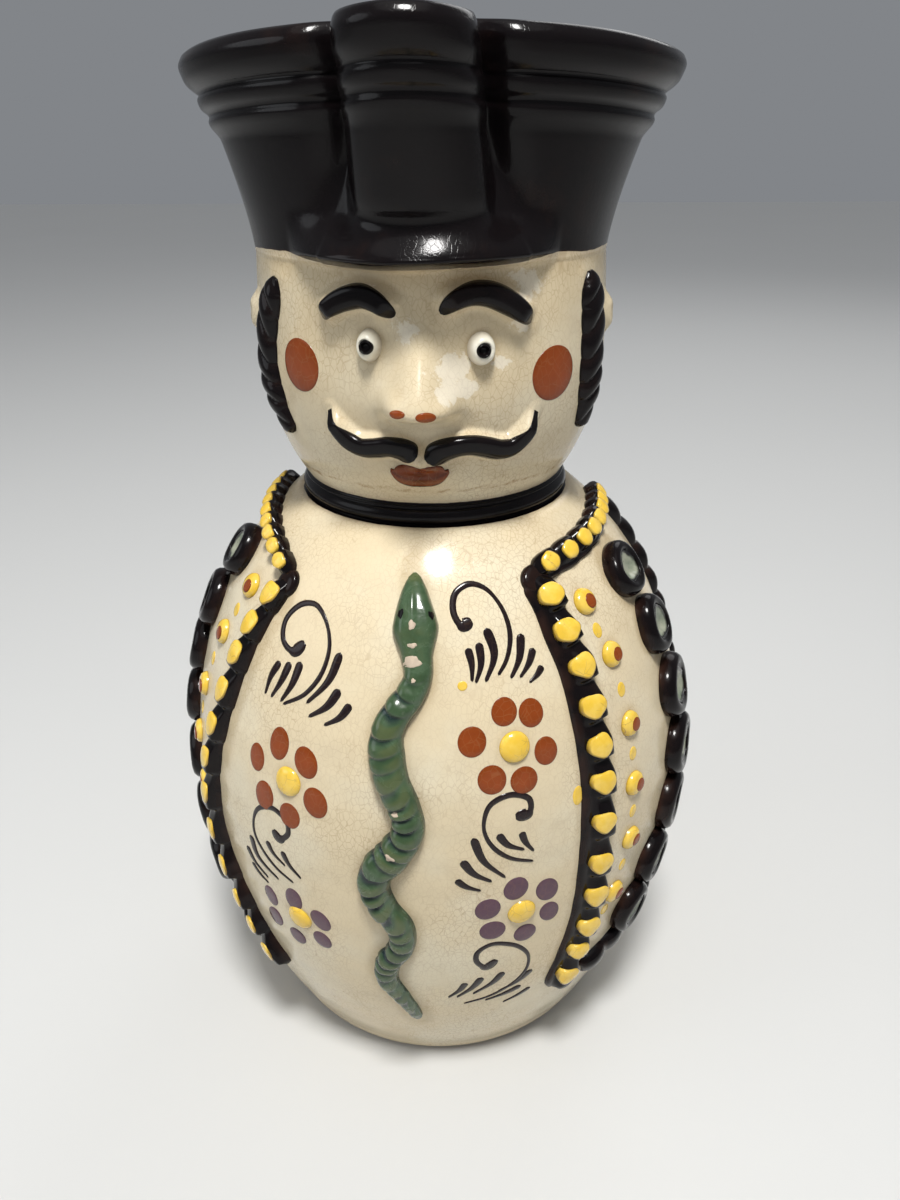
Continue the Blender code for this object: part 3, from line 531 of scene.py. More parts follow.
    def shifted(self, turn, z, level, upward):
        """The place reached by going level and upward millimetres along the turned wall."""
        _, _, up = self.smooth_frame(turn, z)
        return turn + np.degrees(level / self.turned_radius(z)), z + upward * np.clip(up[..., 2], 0.25, 1.0)

    def grime(self, turn, z):
        """How much brown is laid on: grime, and painted shade beside all that is raised, in the face's hollows and
        under visor and collar.
        """
        # The base amount and the rise over the whole face are grime; the rise just under the hat's edge is painted
        # shadow of the visor.
        amount = 0.12 + 0.30 * smooth(z, 191.0, 205.0) + 0.35 * smooth(z, 245.0, 251.0)
        # Painted shade: a dark edge fading away from the snake, beads, buttons, knobs, flower hearts, eyes, brows and
        # moustache.
        gap, _ = trail(turn, z, way_through(SNAKE, 50), BODY_SCALE)
        amount = np.maximum(amount, 0.75 * (1.0 - smooth(gap, 4.2, 8.0)))
        for beads in (RIGHT_BEADS, LEFT_BEADS):
            gap, _ = trail(turn, z, beads, BODY_SCALE)
            amount = np.maximum(amount, 0.70 * (1.0 - smooth(gap, 5.6, 9.0)))
        across = np.radians(self.turned_radius(z))
        for places, reach, most in (
            ((*RIGHT_BUTTONS, *LEFT_BUTTONS), 1.04 * self.button_radius, 0.9),
            ((*RIGHT_KNOBS, *LEFT_KNOBS), 3.7, 0.55),
            ([flower[0] for flower in (*BROWN_FLOWERS, *PURPLE_FLOWERS)], 4.0, 0.55),
            ([eye[:2] for eye in EYES], 3.4, 0.9),
        ):
            for place in places:
                gap = np.hypot((turn - place[0]) * across, z - place[1])
                amount = np.maximum(amount, most * (1.0 - smooth(gap, reach, reach + 2.6)))
        for way in (*self.brow_ways, *self.lip_hair_ways):
            gap, _ = trail(turn, z, way, FACE_SCALE)
            amount = np.maximum(amount, 0.55 * (1.0 - smooth(gap, 2.4, 6.5)))
        # Painted shade beside the nose and under it.
        x = FACE_SCALE * (turn - NOSE_TURN)
        amount = np.maximum(amount, 0.55 * hump(np.abs(x), 8.5, 3.0) * hump(z, 221.0, 7.0))
        amount = np.maximum(amount, 0.60 * hump(x, 0.0, 9.0) * hump(z, 214.0, 2.6))
        # Painted shade on the shoulder just under the collar's ledge, added to all the rest.
        return amount + 0.25 * smooth(z, 176.0, 184.0) * (z < 185.0)

    def pale_patches(self, turn, z):
        """Where the white slip has broken through: soft ovals beside the nose and under the brow."""
        amount = 0.0 * turn
        for centre, height, wide, tall in PALE_PATCHES:
            amount = np.maximum(amount, hump(turn, centre, wide) * hump(z, height, tall))
        return amount

    # Hat

    def spout_turn(self, share):
        return self.spout_turns[0] + (self.spout_turns[1] - self.spout_turns[0]) * share

    def spout_section(self, share, inset):
        half = self.spout_foot_half + (self.spout_half - self.spout_foot_half) * share
        front = self.spout_foot_front + (self.spout_front - self.spout_foot_front) * share
        return half - inset, front - half

    def crease_turn(self, share, inset):
        half, centre = self.spout_section(share, inset)
        return np.degrees(np.arcsin(np.minimum(half / centre, 0.8)))

    def rim(self, turn):
        lift = self.spout_lift * hump(turn, self.spout_turns[1], 16.0)
        return self.rim_height - self.rim_droop * np.sin(np.radians(turn)) ** 4 + lift

    def hat_wall_radius(self, turn, share, inset):
        """The flaring lobes, less a valley beside the spout, joined to the round spout by a soft maximum."""
        flare = np.clip(share, 0.0, None) ** 1.35
        side = np.sin(np.radians(turn)) ** 2
        reach = np.where(np.sin(np.radians(turn)) < 0.0, self.left_lobe_reach, self.right_lobe_reach)
        lobe = self.hat_radius + flare * (self.end_reach + (reach - self.end_reach) * side) - inset
        away = np.abs((turn - self.spout_turn(share) + 180.0) % 360.0 - 180.0)
        grown, deep = smooth(share, 0.02, 0.30), smooth(share, 0.12, 0.46)
        beyond = np.maximum(away - self.crease_turn(share, 0.0), 0.0)
        valley = lobe - self.crease_depth * deep * np.exp(-((beyond / self.crease_spread) ** 2))
        half, centre = self.spout_section(share, inset)
        sine = centre * np.sin(np.radians(np.minimum(away, 60.0)))
        root = np.sqrt(np.clip(half**2 - sine**2, 0.0, None))
        spout = centre * np.cos(np.radians(away)) + root
        spout = lobe + (spout - lobe) * grown
        joined = 0.5 * (spout + valley + np.hypot(spout - valley, 1.2))
        return np.where(away > 0.985 * self.crease_turn(share, inset), valley, joined)

    def visor(self, turn, z):
        """A peak whose upper side slopes out to its edge and whose underside returns at once."""
        place = np.clip((turn - VISOR_TURN) / self.visor_half, -1.0, 1.0)
        spread = np.clip(np.cos(0.5 * np.pi * place), 0.0, 1.0) ** 1.05
        edge = self.visor_height - 0.6 * hump(turn, -6.0, 14.0)
        above = 1.0 - smooth(z, edge - 1.0, edge + 9.0)
        below = smooth(z, edge - 4.2, edge - 0.2)
        return self.visor_reach * spread * np.where(z > edge, above, below) * (z > edge - 4.3)

    def black_edge(self, turn):
        """Height where the hat's black glaze stops: under the visor, and round the head."""
        wave = 0.25 * np.sin(np.radians(5 * turn)) + 0.15 * np.sin(np.radians(11 * turn + 40))
        front = hump(turn, 1.0, 27.0)
        return BLACK_EDGE + wave + 1.1 * hump(np.abs(turn - 1.0), 44.0, 12.0) - 1.5 * front


def columns(form, share, inset):
    """Turns of the vessel's upright edges, one along each crease: rows by columns."""
    share = np.atleast_1d(np.asarray(share, float))[:, None]
    middle, crease = form.spout_turn(share), form.crease_turn(share, inset)
    spout = 1.0 - (1.0 - np.linspace(0.0, 1.0, 29)[1:]) ** 1.15
    flank = np.linspace(0.0, 1.0, 67)[1:] ** 1.04
    back = np.linspace(0.0, 1.0, 27)[1:]
    right = [middle + crease * spout, middle + crease + (90.0 - middle - crease) * flank]
    right.append(90.0 + 90.0 * back + 0.0 * share)
    left = [middle - crease * spout, middle - crease + (-90.0 - middle + crease) * flank]
    left.append(-90.0 - 90.0 * back[:-1] + 0.0 * share)
    left = np.concatenate(left, axis=1)[:, ::-1]
    return np.concatenate([left, middle + 0.0 * share, np.concatenate(right, axis=1)], axis=1)


def vessel_rows(form):
    """Points of the whole skin, from the underside up the outside, over the rim and down the hollow."""
    still = columns(form, 0.0, 0.0)
    rows, ink, bare, inner, grime, pale = [], [], [], [], [], []

    def add(turn, radius, z, black, raw=0.0, within=0.0):
        radius, z, black, raw = np.broadcast_arrays(radius, z, black, raw)
        turn = np.broadcast_to(turn, radius.shape)
        rows.append(polar(turn, radius, z))
        ink.append(black)
        bare.append(raw)
        inner.append(np.full(radius.shape, within))
        outside = (z < 252.0) & (within == 0.0) & (z > 3.0)
        # Brown amount for grime and for painted shade, on the outer wall below the hat
        grime.append(np.where(outside, form.grime(turn, z), 0.1))
        pale.append(np.where(outside, form.pale_patches(turn, z), 0.0))

    one = np.ones_like(still)
    foot = np.linspace(0.25, 1.0, 4)[:, None] * one
    add(still, form.foot_radius * foot, 0.0 * foot, NO_BLACK * foot, 1.0)
    bend = np.linspace(0.0, 0.5 * np.pi, 7)[1:, None] * one
    edge = form.turned_radius(np.array(form.foot_rounding))
    z = form.foot_rounding * (1 - np.cos(bend))
    radius = form.foot_radius + (edge - form.foot_radius) * np.sin(bend)
    add(still, radius, z, NO_BLACK, 1.0 - smooth(z, 0.3, 1.3))
    shoulder = form.belly_height + form.shoulder_rise * np.sin(
        np.linspace(0.0, math.asin((form.collar_foot - 0.4 - form.belly_height) / form.shoulder_rise), 52)[1:]
    )
    z = np.concatenate([np.linspace(form.foot_rounding, form.belly_height, 40)[1:], shoulder])[:, None] * one
    radius = form.wall_radius(still, z)
    add(still, radius, z, BLACK_RING - radius)
    ledge = ring_values(*LEDGE) * one
    add(still, ledge, form.collar_foot + 0.02 * (LEDGE[0] - ledge), BLACK_RING - ledge)
    z = form.collar_foot + form.collar_depth * np.linspace(0.02, 1.0, 22)[:, None] * one
    add(still, form.turned_radius(z), z, np.minimum(3.0, form.collar_foot + form.collar_depth + 0.5 - z))
    z = np.concatenate([np.linspace(190.5, 246.0, 104), np.linspace(246.4, 251.2, 14)])[:, None] * one
    radius = form.wall_radius(still, z) + form.visor(still, z)
    black = np.maximum(z - form.black_edge(still), form.collar_foot + form.collar_depth + 0.5 - z)
    add(still, radius, z, black)
    depth = form.rim_height - form.hat_foot
    low = np.concatenate([np.linspace(0.0, 0.10, 13), np.linspace(0.115, 0.56, 28)])
    share = np.concatenate([low, 1.0 - np.linspace(21.0, 0.8, 46) / depth])[:, None]
    turn = columns(form, share[:, 0], 0.0)
    z = form.hat_foot + share * (form.rim(turn) - form.hat_foot)
    knots, swells = np.array(RIM_SECTION).T
    below = (1.0 - share) * depth
    swell = np.where(below > 22.0, 0.0, curve(below.ravel(), knots, swells[:, None]).reshape(below.shape))
    radius = form.hat_wall_radius(turn, share, 0.0) + swell + form.visor(turn, z)
    add(turn, radius, z, z - form.black_edge(turn))
    for inset, down, out in ((0.0, 0.2, 0.5), (1.0, 0.0, 0.0), (2.3, 0.1, 0.0), (3.4, 0.6, 0.0), (4.2, 1.6, 0.0)):
        turn = columns(form, 1.0, inset)
        add(turn, form.hat_wall_radius(turn, 1.0 - down / depth, inset) + out, form.rim(turn) - down, ALL_BLACK)
    for part in np.linspace(0.94, 0.04, 26)[:, None]:
        turn = columns(form, part, form.hat_wall)
        z = form.hat_foot + part * (form.rim(turn) - form.hat_foot)
        black = z - form.rim(turn) + 12.0 + 1.6 * np.sin(np.radians(3 * turn))
        add(turn, form.hat_wall_radius(turn, part, form.hat_wall), z, black, 0.0, 1.0)
    turn = columns(form, 0.0, form.hat_wall)
    one = np.ones_like(turn)
    z = np.concatenate([
        np.linspace(250.0, 193.0, 14), [188.0, 184.5],
        form.belly_height + (form.shoulder_rise - form.wall) * np.sin(np.radians(np.linspace(63.0, 0.0, 12))),
        np.linspace(form.belly_height, form.floor + 4.0, 12)[1:],
    ])[:, None] * one
    add(turn, form.hollow_radius(z), z, NO_BLACK, 0.0, 1.0)
    corner = form.hollow_radius(np.array(form.floor + 4.0))
    radius, height = (corner - ring_values(1.2, 3.6, 7.0)) * one, form.floor + ring_values(2.0, 0.6, 0.0) * one
    add(turn, radius, height, NO_BLACK, 0.0, 1.0)
    add(turn, ring_values(36.0, 14.0) * one, form.floor * np.ones_like(turn), NO_BLACK, 0.0, 1.0)
    layers = {"ink": ink, "bare": bare, "inner": inner, "grime": grime, "pale": pale}
    return np.concatenate(rows), {name: np.concatenate(parts) for name, parts in layers.items()}


def grid_faces(rows, count, start=0):
    """Quads of a grid whose columns close into a ring: (row, column) to the next row and column."""
    index = start + np.arange(rows * count).reshape(rows, count)
    after = np.roll(index, -1, axis=1)
    quads = np.stack([index[:-1], after[:-1], after[1:], index[1:]], axis=-1)
    return quads.reshape(-1, 4)


def closed_faces(rows, count, start=0):
    """The grid's quads, and a fan from either end ring to a middle point that follows the grid's own."""
    first = start + np.arange(count)
    last = first + (rows - 1) * count
    head = start + rows * count
    faces = grid_faces(rows, count, start).tolist()
    faces += np.stack([np.roll(first, -1), first, np.full(count, head)], axis=-1).tolist()
    faces += np.stack([last, np.roll(last, -1), np.full(count, head + 1)], axis=-1).tolist()
    return faces


def make_object(name, points, faces, materials, slots=None, attributes=()):
    """Puts arrays of points in millimetres and lists of faces into a mesh piece that rides on the jug."""
    mesh = bpy.data.meshes.new(name)
    mesh.from_pydata((np.asarray(points, float) * MM).tolist(), [], faces)
    for key, values in attributes:
        layer = mesh.attributes.new(key, "FLOAT", "POINT")
        layer.data.foreach_set("value", np.ascontiguousarray(values, np.float32).ravel())
    for material in materials:
        mesh.materials.append(material)
    if slots is not None:
        mesh.polygons.foreach_set("material_index", np.asarray(slots, np.int32))
    mesh.polygons.foreach_set("use_smooth", np.ones(len(mesh.polygons), bool))
    made = bmesh.new()
    made.from_mesh(mesh)
    bmesh.ops.recalc_face_normals(made, faces=made.faces)
    made.to_mesh(mesh)
    made.free()
    mesh.update()
    piece = bpy.data.objects.new(name, mesh)
    bpy.context.scene.collection.objects.link(piece)
    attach(piece, "root")
    return piece


class Shells:
    """Gathers closed shells of like kind into one mesh."""

    def __init__(self):
        self.points, self.faces, self.values, self.slots = [], [], [], []
        self.count = 0

    def tube(self, rings, values=None, slot=0):
        """rings: stations by ring points by 3. Quads between rings, a fan to the middle at each end."""
        stations, count, _ = rings.shape
        ends = np.stack([rings[0].mean(axis=0), rings[-1].mean(axis=0)])
        faces = closed_faces(stations, count, self.count)
        values = np.zeros((stations, count)) if values is None else np.broadcast_to(values, (stations, count))
        self.points += [rings.reshape(-1, 3), ends]
        self.values += [values.ravel(), [values[0].mean(), values[-1].mean()]]
        self.faces += faces
        self.slots += [slot] * len(faces)
        self.count += stations * count + 2

    def make(self, name, colours, *glazes):
        """Makes the gathered shells one piece in the glazes named, in the order of their slots."""
        materials = [material(glaze, colours) for glaze in glazes]
        values = [("shade", np.concatenate(self.values))]
        make_object(name, np.concatenate(self.points), self.faces, materials, self.slots, values)


def lay_band(form, way, width, section, lifts):
    """Rings of a strip laid along way: each section point goes sideways on the wall, then out along it.

    way is stations by (turn, height); width is a whole width a station; section holds sides from -0.5 to
    0.5; lifts is stations by section points. A root ring point under either edge closes the strip.
    """
    turn, z = way[:, 0], way[:, 1]
    normal, level, upward = form.smooth_frame(turn, z)
    ahead = unit(np.gradient(polar(turn, form.turned_radius(z), z), axis=0))
    across = unit(np.cross(ahead, normal))
    to_level, to_up = (across * level).sum(-1), (across * upward).sum(-1)
    width = width[:, None] if width.ndim == 1 else with_edges(width)
    sides = np.pad(section, 1, mode="edge")
    lifts = np.pad(lifts, ((0, 0), (1, 1)), constant_values=ROOT)
    step = width * sides[None, :]
    place_turn, place_z = form.shifted(
        turn[:, None] + 0.0 * step, z[:, None] + 0.0 * step, step * to_level[:, None], step * to_up[:, None]
    )
    base, out, _, _ = form.wall_frame(place_turn, place_z)
    return base + out * lifts[..., None]


def lay_pat(form, places, radii, lifts, sides):
    """Rings of round or oval pats: place + radius share times the half axes, out by the lift.

    places is one row of (turn, height, half width, half height, lean) a pat; radii and lifts run from the
    foot to the crown. Returns pats by rings by sides by 3.
    """
    places = np.asarray(places, float)[:, None, None, :]
    radii, lifts = np.asarray(radii, float), np.asarray(lifts, float)
    angle = around(sides)
    radii = radii[None, :, None] if radii.ndim == 1 else radii
    lifts = lifts[None, :, None] if lifts.ndim == 1 else lifts
    x = places[..., 2] * radii * np.cos(angle)
    y = places[..., 3] * radii * np.sin(angle)
    lean = np.radians(-places[..., 4])
    level, upward = x * np.cos(lean) - y * np.sin(lean), x * np.sin(lean) + y * np.cos(lean)
    turn, z = form.shifted(places[..., 0] + 0.0 * level, places[..., 1] + 0.0 * level, level, upward)
    base, out, _, _ = form.wall_frame(turn, z)
    return base + out * (lifts + 0.0 * level)[..., None]


# Rings of a flat pat of colour: shares of its half axes, and how much of the rim's dark each one gets
FLAT_RADII = (0.90, 1.0, 1.0, 0.96, 0.86, 0.6, 0.25)
FLAT_SHADE = ring_values(1, 1, 1, 0.8, 0.3, 0.1, 0)


def paint_lifts(thickness):
    """Lifts of the same rings, from under the wall to the flat top."""
    return (-0.5, -0.25, 0.05, 0.5 * thickness, 0.85 * thickness, thickness, thickness)


# Materials


class Glaze:
    """A material's node tree while it is wired up."""

    def __init__(self, name):
        self.material = bpy.data.materials.new(name)
        self.material.use_nodes = True
        self.tree = self.material.node_tree
        self.shader = self.tree.nodes["Principled BSDF"]
        self.place = self.add("ShaderNodeTexCoord").outputs["Object"]

    def add(self, kind, **settings):
        node = self.tree.nodes.new(kind)
        for name, value in settings.items():
            setattr(node, name, value)
        return node

    def put(self, socket, value):
        if isinstance(value, bpy.types.NodeSocket):
            self.tree.links.new(value, socket)
        elif hasattr(value, "__len__") and len(value) == 3 and socket.type == "RGBA":
            socket.default_value = (*value, 1.0)
        else:
            socket.default_value = value

    def noise(self, scale, detail=3.0, roughness=0.5, place=None, distortion=0.0):
        node = self.add("ShaderNodeTexNoise")
        for name, value in (("Vector", place or self.place), ("Scale", scale), ("Detail", detail),
                            ("Roughness", roughness), ("Distortion", distortion)):
            self.put(node.inputs[name], value)
        return node.outputs["Fac"]

    def span(self, value, low, high, to_low=0.0, to_high=1.0):
        node = self.add("ShaderNodeMapRange", interpolation_type="SMOOTHSTEP", clamp=True)
        for index, item in enumerate((value, low, high, to_low, to_high)):
            self.put(node.inputs[index], item)
        return node.outputs["Result"]

    def math(self, operation, first, second=0.0):
        node = self.add("ShaderNodeMath", operation=operation)
        self.put(node.inputs[0], first)
        self.put(node.inputs[1], second)
        return node.outputs[0]

    def times(self, first, second):
        return self.math("MULTIPLY", first, second)

    def plus(self, first, second):
        return self.math("ADD", first, second)

    def swing(self, noise, reach):
        """A noise that swings about 0, by reach in all."""
        return self.times(self.math("SUBTRACT", noise, 0.5), reach)

    def gloss(self, scale, low, high):
        """Roughness that drifts between low and high."""
        return self.span(self.noise(scale, 3.0), 0.3, 0.7, low, high)

    def blend(self, mask, most, first, second):
        """The first colour, with the second over it by the mask times most."""
        return self.mix(self.times(mask, most), first, second)

    def mix(self, factor, first, second):
        node = self.add("ShaderNodeMix", data_type="RGBA")
        self.put(node.inputs[0], factor)
        self.put(node.inputs[6], first)
        self.put(node.inputs[7], second)
        return node.outputs[2]

    def value(self, name):
        return self.add("ShaderNodeAttribute", attribute_name=name).outputs["Fac"]

    def crackle(self, cell, width, stretch=(1.0, 1.0, 1.0), turn=0.0):
        """1 on the fine cracks of the glaze: the borders of small cells, bent by noise."""
        bent = self.add("ShaderNodeTexNoise")
        self.put(bent.inputs["Vector"], self.place)
        self.put(bent.inputs["Scale"], 0.35 / cell)
        moved = self.add("ShaderNodeVectorMath", operation="MULTIPLY_ADD")
        self.put(moved.inputs[0], bent.outputs["Color"])
        moved.inputs[1].default_value = (0.9 * cell,) * 3
        self.put(moved.inputs[2], self.place)
        turned = self.add("ShaderNodeMapping")
        self.put(turned.inputs["Vector"], moved.outputs[0])
        turned.inputs["Rotation"].default_value = (0.0, turn, 0.0)
        turned.inputs["Scale"].default_value = stretch
        cells = self.add("ShaderNodeTexVoronoi", feature="DISTANCE_TO_EDGE")
        self.put(cells.inputs["Vector"], turned.outputs["Vector"])
        self.put(cells.inputs["Scale"], 1.0 / cell)
        return self.span(cells.outputs["Distance"], 0.0, width, 1.0, 0.0)

    def finish(self, base, roughness, coat=0.5, coat_roughness=0.04, bump=None, strength=0.1, distance=0.0003,
               bend=1.45):
        self.put(self.shader.inputs["Base Color"], base)
        self.put(self.shader.inputs["Roughness"], roughness)
        self.shader.inputs["Metallic"].default_value = 0.0
        self.shader.inputs["IOR"].default_value = bend
        self.shader.inputs["Coat Weight"].default_value = coat
        self.shader.inputs["Coat Roughness"].default_value = coat_roughness
        self.shader.inputs["Coat IOR"].default_value = 1.5
        if bump is not None:
            node = self.add("ShaderNodeBump")
            node.inputs["Strength"].default_value = strength
            node.inputs["Distance"].default_value = distance
            self.put(node.inputs["Height"], bump)
            self.put(self.shader.inputs["Normal"], node.outputs["Normal"])
        return self.material


def black_colour(glaze, colours, thin):
    """Black glaze with red brown showing through where it runs thin."""
    patch = glaze.span(glaze.noise(45.0, 4.0, 0.6), 0.52, 0.78)
    shade = glaze.blend(patch, 0.22, colours.black, colours.black_thin)
    return glaze.mix(thin, shade, colours.black_thin)


def cream_colour(glaze, colours, heavy=1.0):
    """Cream glaze: cloudy slip, faint stains and a net of fine brown cracks. Returns colour and cracks."""
    cloud = glaze.span(glaze.noise(26.0, 4.0, 0.55), 0.40, 0.66)
    ground = glaze.blend(cloud, 0.55, colours.cream, colours.cream_pale)
    blotch = glaze.span(glaze.noise(70.0, 6.0, 0.62, distortion=0.6), 0.54, 0.74)
    ground = glaze.blend(blotch, 0.13 * heavy, ground, colours.stain)
    fine = glaze.crackle(0.0014, 0.07, (1.0, 1.0, 0.62), 0.75)
    wide = glaze.crackle(0.0046, 0.026, (1.0, 1.0, 0.75), -0.6)
    where = glaze.span(glaze.noise(38.0, 3.0, 0.5), 0.36, 0.66, 0.25, 1.0)
    cracks = glaze.times(glaze.math("MAXIMUM", fine, glaze.times(wide, 0.7)), where)
    ground = glaze.blend(cracks, 0.38 * heavy, ground, colours.stain)
    speck = glaze.span(glaze.noise(420.0, 2.0, 0.5), 0.75, 0.80)
    ground = glaze.blend(speck, 0.55, ground, colours.stain)
    return ground, cracks


def jug_glaze(glaze, colours):
    """Cream, black, amber and bare clay on one wall, parted by the distances stored with the mesh."""
    cream, cracks = cream_colour(glaze, colours)
    # Brown over the cream: painted shade beside the relief and under the visor and collar, and grime, in uneven
    # patches.
    patchiness = glaze.plus(0.35, glaze.times(glaze.noise(55.0, 5.0, 0.65, distortion=0.8), 1.3))
    cream = glaze.mix(glaze.times(glaze.times(glaze.value("grime"), patchiness), 0.50), cream,
                      colours.grime)
    torn = glaze.swing(glaze.noise(150.0, 8.0, 0.75, distortion=0.4), 3.0)
    broken = glaze.plus(glaze.value("pale"), torn)
    cream = glaze.mix(glaze.times(glaze.span(broken, 0.66, 0.76), 0.38), cream, colours.slip)
    split = glaze.add("ShaderNodeSeparateXYZ")
    glaze.put(split.inputs[0], glaze.place)
    height = split.outputs["Z"]
    ragged = glaze.swing(glaze.noise(260.0, 4.0, 0.7), 0.0030)
    level = glaze.math("ABSOLUTE", glaze.math("SUBTRACT", glaze.plus(height, ragged), SEAM_HEIGHT * MM))
    seam = glaze.times(glaze.span(level, 0.0002, 0.0008, 1.0, 0.0),
                      glaze.span(glaze.noise(210.0, 4.0, 0.7), 0.45, 0.60, 0.10, 0.60))
    cream = glaze.mix(seam, cream, colours.stain)
    ink = glaze.value("ink")
    wobble = glaze.swing(glaze.noise(300.0, 2.0), 0.5)
    edge = glaze.plus(ink, wobble)
    halo = glaze.times(glaze.span(edge, -1.6, -0.1), 0.18)
    cream = glaze.mix(halo, cream, colours.stain)
    thin = glaze.times(glaze.span(edge, 0.0, 0.5, 1.0, 0.0), 0.5)
    black = black_colour(glaze, colours, thin)
    painted = glaze.span(edge, -0.06, 0.10)
    inside = glaze.value("inner")
    lining = glaze.mix(glaze.span(glaze.noise(30.0, 4.0), 0.35, 0.7), colours.amber, colours.cream)
    lining = glaze.mix(0.5, lining, colours.amber)
    ground = glaze.mix(glaze.span(inside, 0.4, 0.6), cream, lining)
    shown = glaze.mix(painted, ground, black)
    clay = glaze.mix(glaze.noise(500.0, 4.0), colours.clay, colours.stain)
    raw = glaze.span(glaze.plus(glaze.value("bare"), glaze.times(wobble, 0.6)), 0.4, 0.6)
    shown = glaze.mix(raw, shown, clay)
    rough = glaze.gloss(60.0, 0.12, 0.24)
    dry = glaze.plus(rough, glaze.times(raw, 0.6))
    hollow = glaze.math("SUBTRACT", glaze.noise(22.0, 2.0), glaze.times(cracks, 0.05))
    return glaze.finish(shown, dry, coat=0.07, bump=hollow, strength=0.22, distance=0.0012, bend=1.24)


def black_glaze(glaze, colours):
    """The black of all that is laid on, thin in its grooves and at its edges."""
    thin = glaze.times(glaze.value("shade"), glaze.span(glaze.noise(160.0, 3.0), 0.3, 0.7))
    shade = black_colour(glaze, colours, thin)
    rough = glaze.gloss(80.0, 0.10, 0.20)
    return glaze.finish(shade, rough, coat=0.07, bump=glaze.noise(120.0, 2.0), strength=0.18, distance=0.0006,
                        bend=1.24)


# Paints: the colour, how far its rim darkens and how far the cracks show
PAINTS = {
    "brown_paint": ("brown", 0.35, 0.2),
    "purple_paint": ("purple", 0.25, 0.12),
    "brush_black": ("brush", 0.2, 0.05),
}


def paint(glaze, colours):
    """Brushed colour under the clear glaze: cloudy, darker at the rim where the brush pooled it."""
    name, edge_dark, speck = PAINTS[glaze.material.name]
    base = getattr(colours, name)
    cloud = glaze.span(glaze.noise(220.0, 4.0, 0.6), 0.35, 0.7)
    light = tuple(min(1.0, 1.25 * part + 0.004) for part in base)
    shade = glaze.blend(cloud, 0.45, base, light)
    dark = tuple(0.30 * part for part in base)
    shade = glaze.blend(glaze.value("shade"), edge_dark, shade, dark)
    cracks = glaze.crackle(0.0021, 0.05, (1.0, 1.0, 0.8), 0.5)
    shade = glaze.blend(cracks, speck, shade, colours.stain)
    rough = glaze.gloss(90.0, 0.12, 0.24)
    return glaze.finish(shade, rough, coat=0.15, bump=glaze.noise(150.0, 2.0), strength=0.15, distance=0.0004,
                        bend=1.30)


def yellow_enamel(glaze, colours):
    """Thick yellow enamel that turns olive brown at its rim, where it thins over what is under it."""
    cloud = glaze.span(glaze.noise(260.0, 4.0, 0.6), 0.35, 0.7)
    shade = glaze.blend(cloud, 0.6, colours.yellow, colours.yellow_pale)
    rim = glaze.times(glaze.span(glaze.value("shade"), 0.45, 1.0), 0.75)
    shade = glaze.mix(rim, shade, colours.yellow_edge)
    cracks = glaze.crackle(0.0030, 0.030)
    keep = glaze.span(glaze.noise(180.0, 2.0), 0.5, 0.62)
    shade = glaze.mix(glaze.times(glaze.times(cracks, keep), 0.6), shade, colours.stain)
    rough = glaze.gloss(90.0, 0.14, 0.26)
    return glaze.finish(shade, rough, coat=0.5, bump=glaze.noise(240.0, 3.0), strength=0.25, distance=0.0005)


def snake_glaze(glaze, colours):
    """Green glaze: pale on the crests, olive where it thins at the folds' lips, and painted shade, deep and bluish, in
    the folds and at the edges.
    """
    fold = glaze.value("shade")
    cloud = glaze.noise(170.0, 5.0, 0.6, distortion=0.5)
    shade = glaze.mix(glaze.span(cloud, 0.35, 0.7), colours.green, colours.green_pale)
    olive = glaze.times(glaze.span(glaze.noise(75.0, 3.0, 0.6), 0.42, 0.62),
                       glaze.span(fold, 0.0, 0.25, 0.75, 0.0))
    shade = glaze.mix(olive, shade, colours.olive)
    # Painted shade: the folds, and the edges where the snake meets the wall, darken to deep green.
    ragged = glaze.plus(fold, glaze.swing(glaze.noise(310.0, 3.0), 0.5))
    shade = glaze.mix(glaze.span(ragged, 0.18, 0.80), shade, colours.green_deep)
    rubbed = glaze.span(glaze.noise(125.0, 4.0, 0.6), 0.64, 0.72)
    rubbed = glaze.times(rubbed, glaze.span(fold, 0.0, 0.3, 0.35, 0.0))
    shade = glaze.mix(rubbed, shade, colours.celadon)
    rough = glaze.span(cloud, 0.3, 0.7, 0.16, 0.30)
    return glaze.finish(shade, rough, coat=0.30, bump=glaze.noise(260.0, 3.0), strength=0.3, distance=0.0006)


def button_hollow_glaze(glaze, colours):
    """Grey green glaze pooled in a button's hollow, with dark pin holes and a dark ragged rim."""
    cloud = glaze.span(glaze.noise(240.0, 4.0, 0.6), 0.3, 0.7)
    shade = glaze.mix(cloud, colours.celadon, colours.celadon_pale)
    pins = glaze.span(glaze.noise(900.0, 2.0), 0.68, 0.74)
    shade = glaze.blend(pins, 0.8, shade, colours.black)
    edge = glaze.plus(glaze.value("shade"), glaze.times(glaze.noise(420.0, 3.0), 0.45))
    shade = glaze.mix(glaze.span(edge, 0.85, 1.20), shade, colours.black)
    return glaze.finish(shade, 0.20, coat=0.3, bump=glaze.noise(300.0, 2.0), strength=0.2, distance=0.0005)


def bare_chip(glaze, colours):
    """Clay bared by a chip: matt and grainy."""
    shade = glaze.mix(glaze.noise(900.0, 4.0), colours.chip, tuple(0.72 * part for part in colours.chip))
    return glaze.finish(shade, 0.55, coat=0.05, bump=glaze.noise(1200.0, 3.0), strength=0.3, distance=0.0003)


def eye_glaze(glaze, colours):
    """White domes with painted shade and brown stain where they meet the face."""
    ground = glaze.mix(glaze.noise(200.0, 3.0), colours.cream_pale, colours.eye_white)
    ground = glaze.blend(glaze.value("shade"), 0.5, ground, colours.stain)
    return glaze.finish(ground, 0.16, coat=0.4, bump=glaze.noise(200.0), strength=0.15, distance=0.0004)


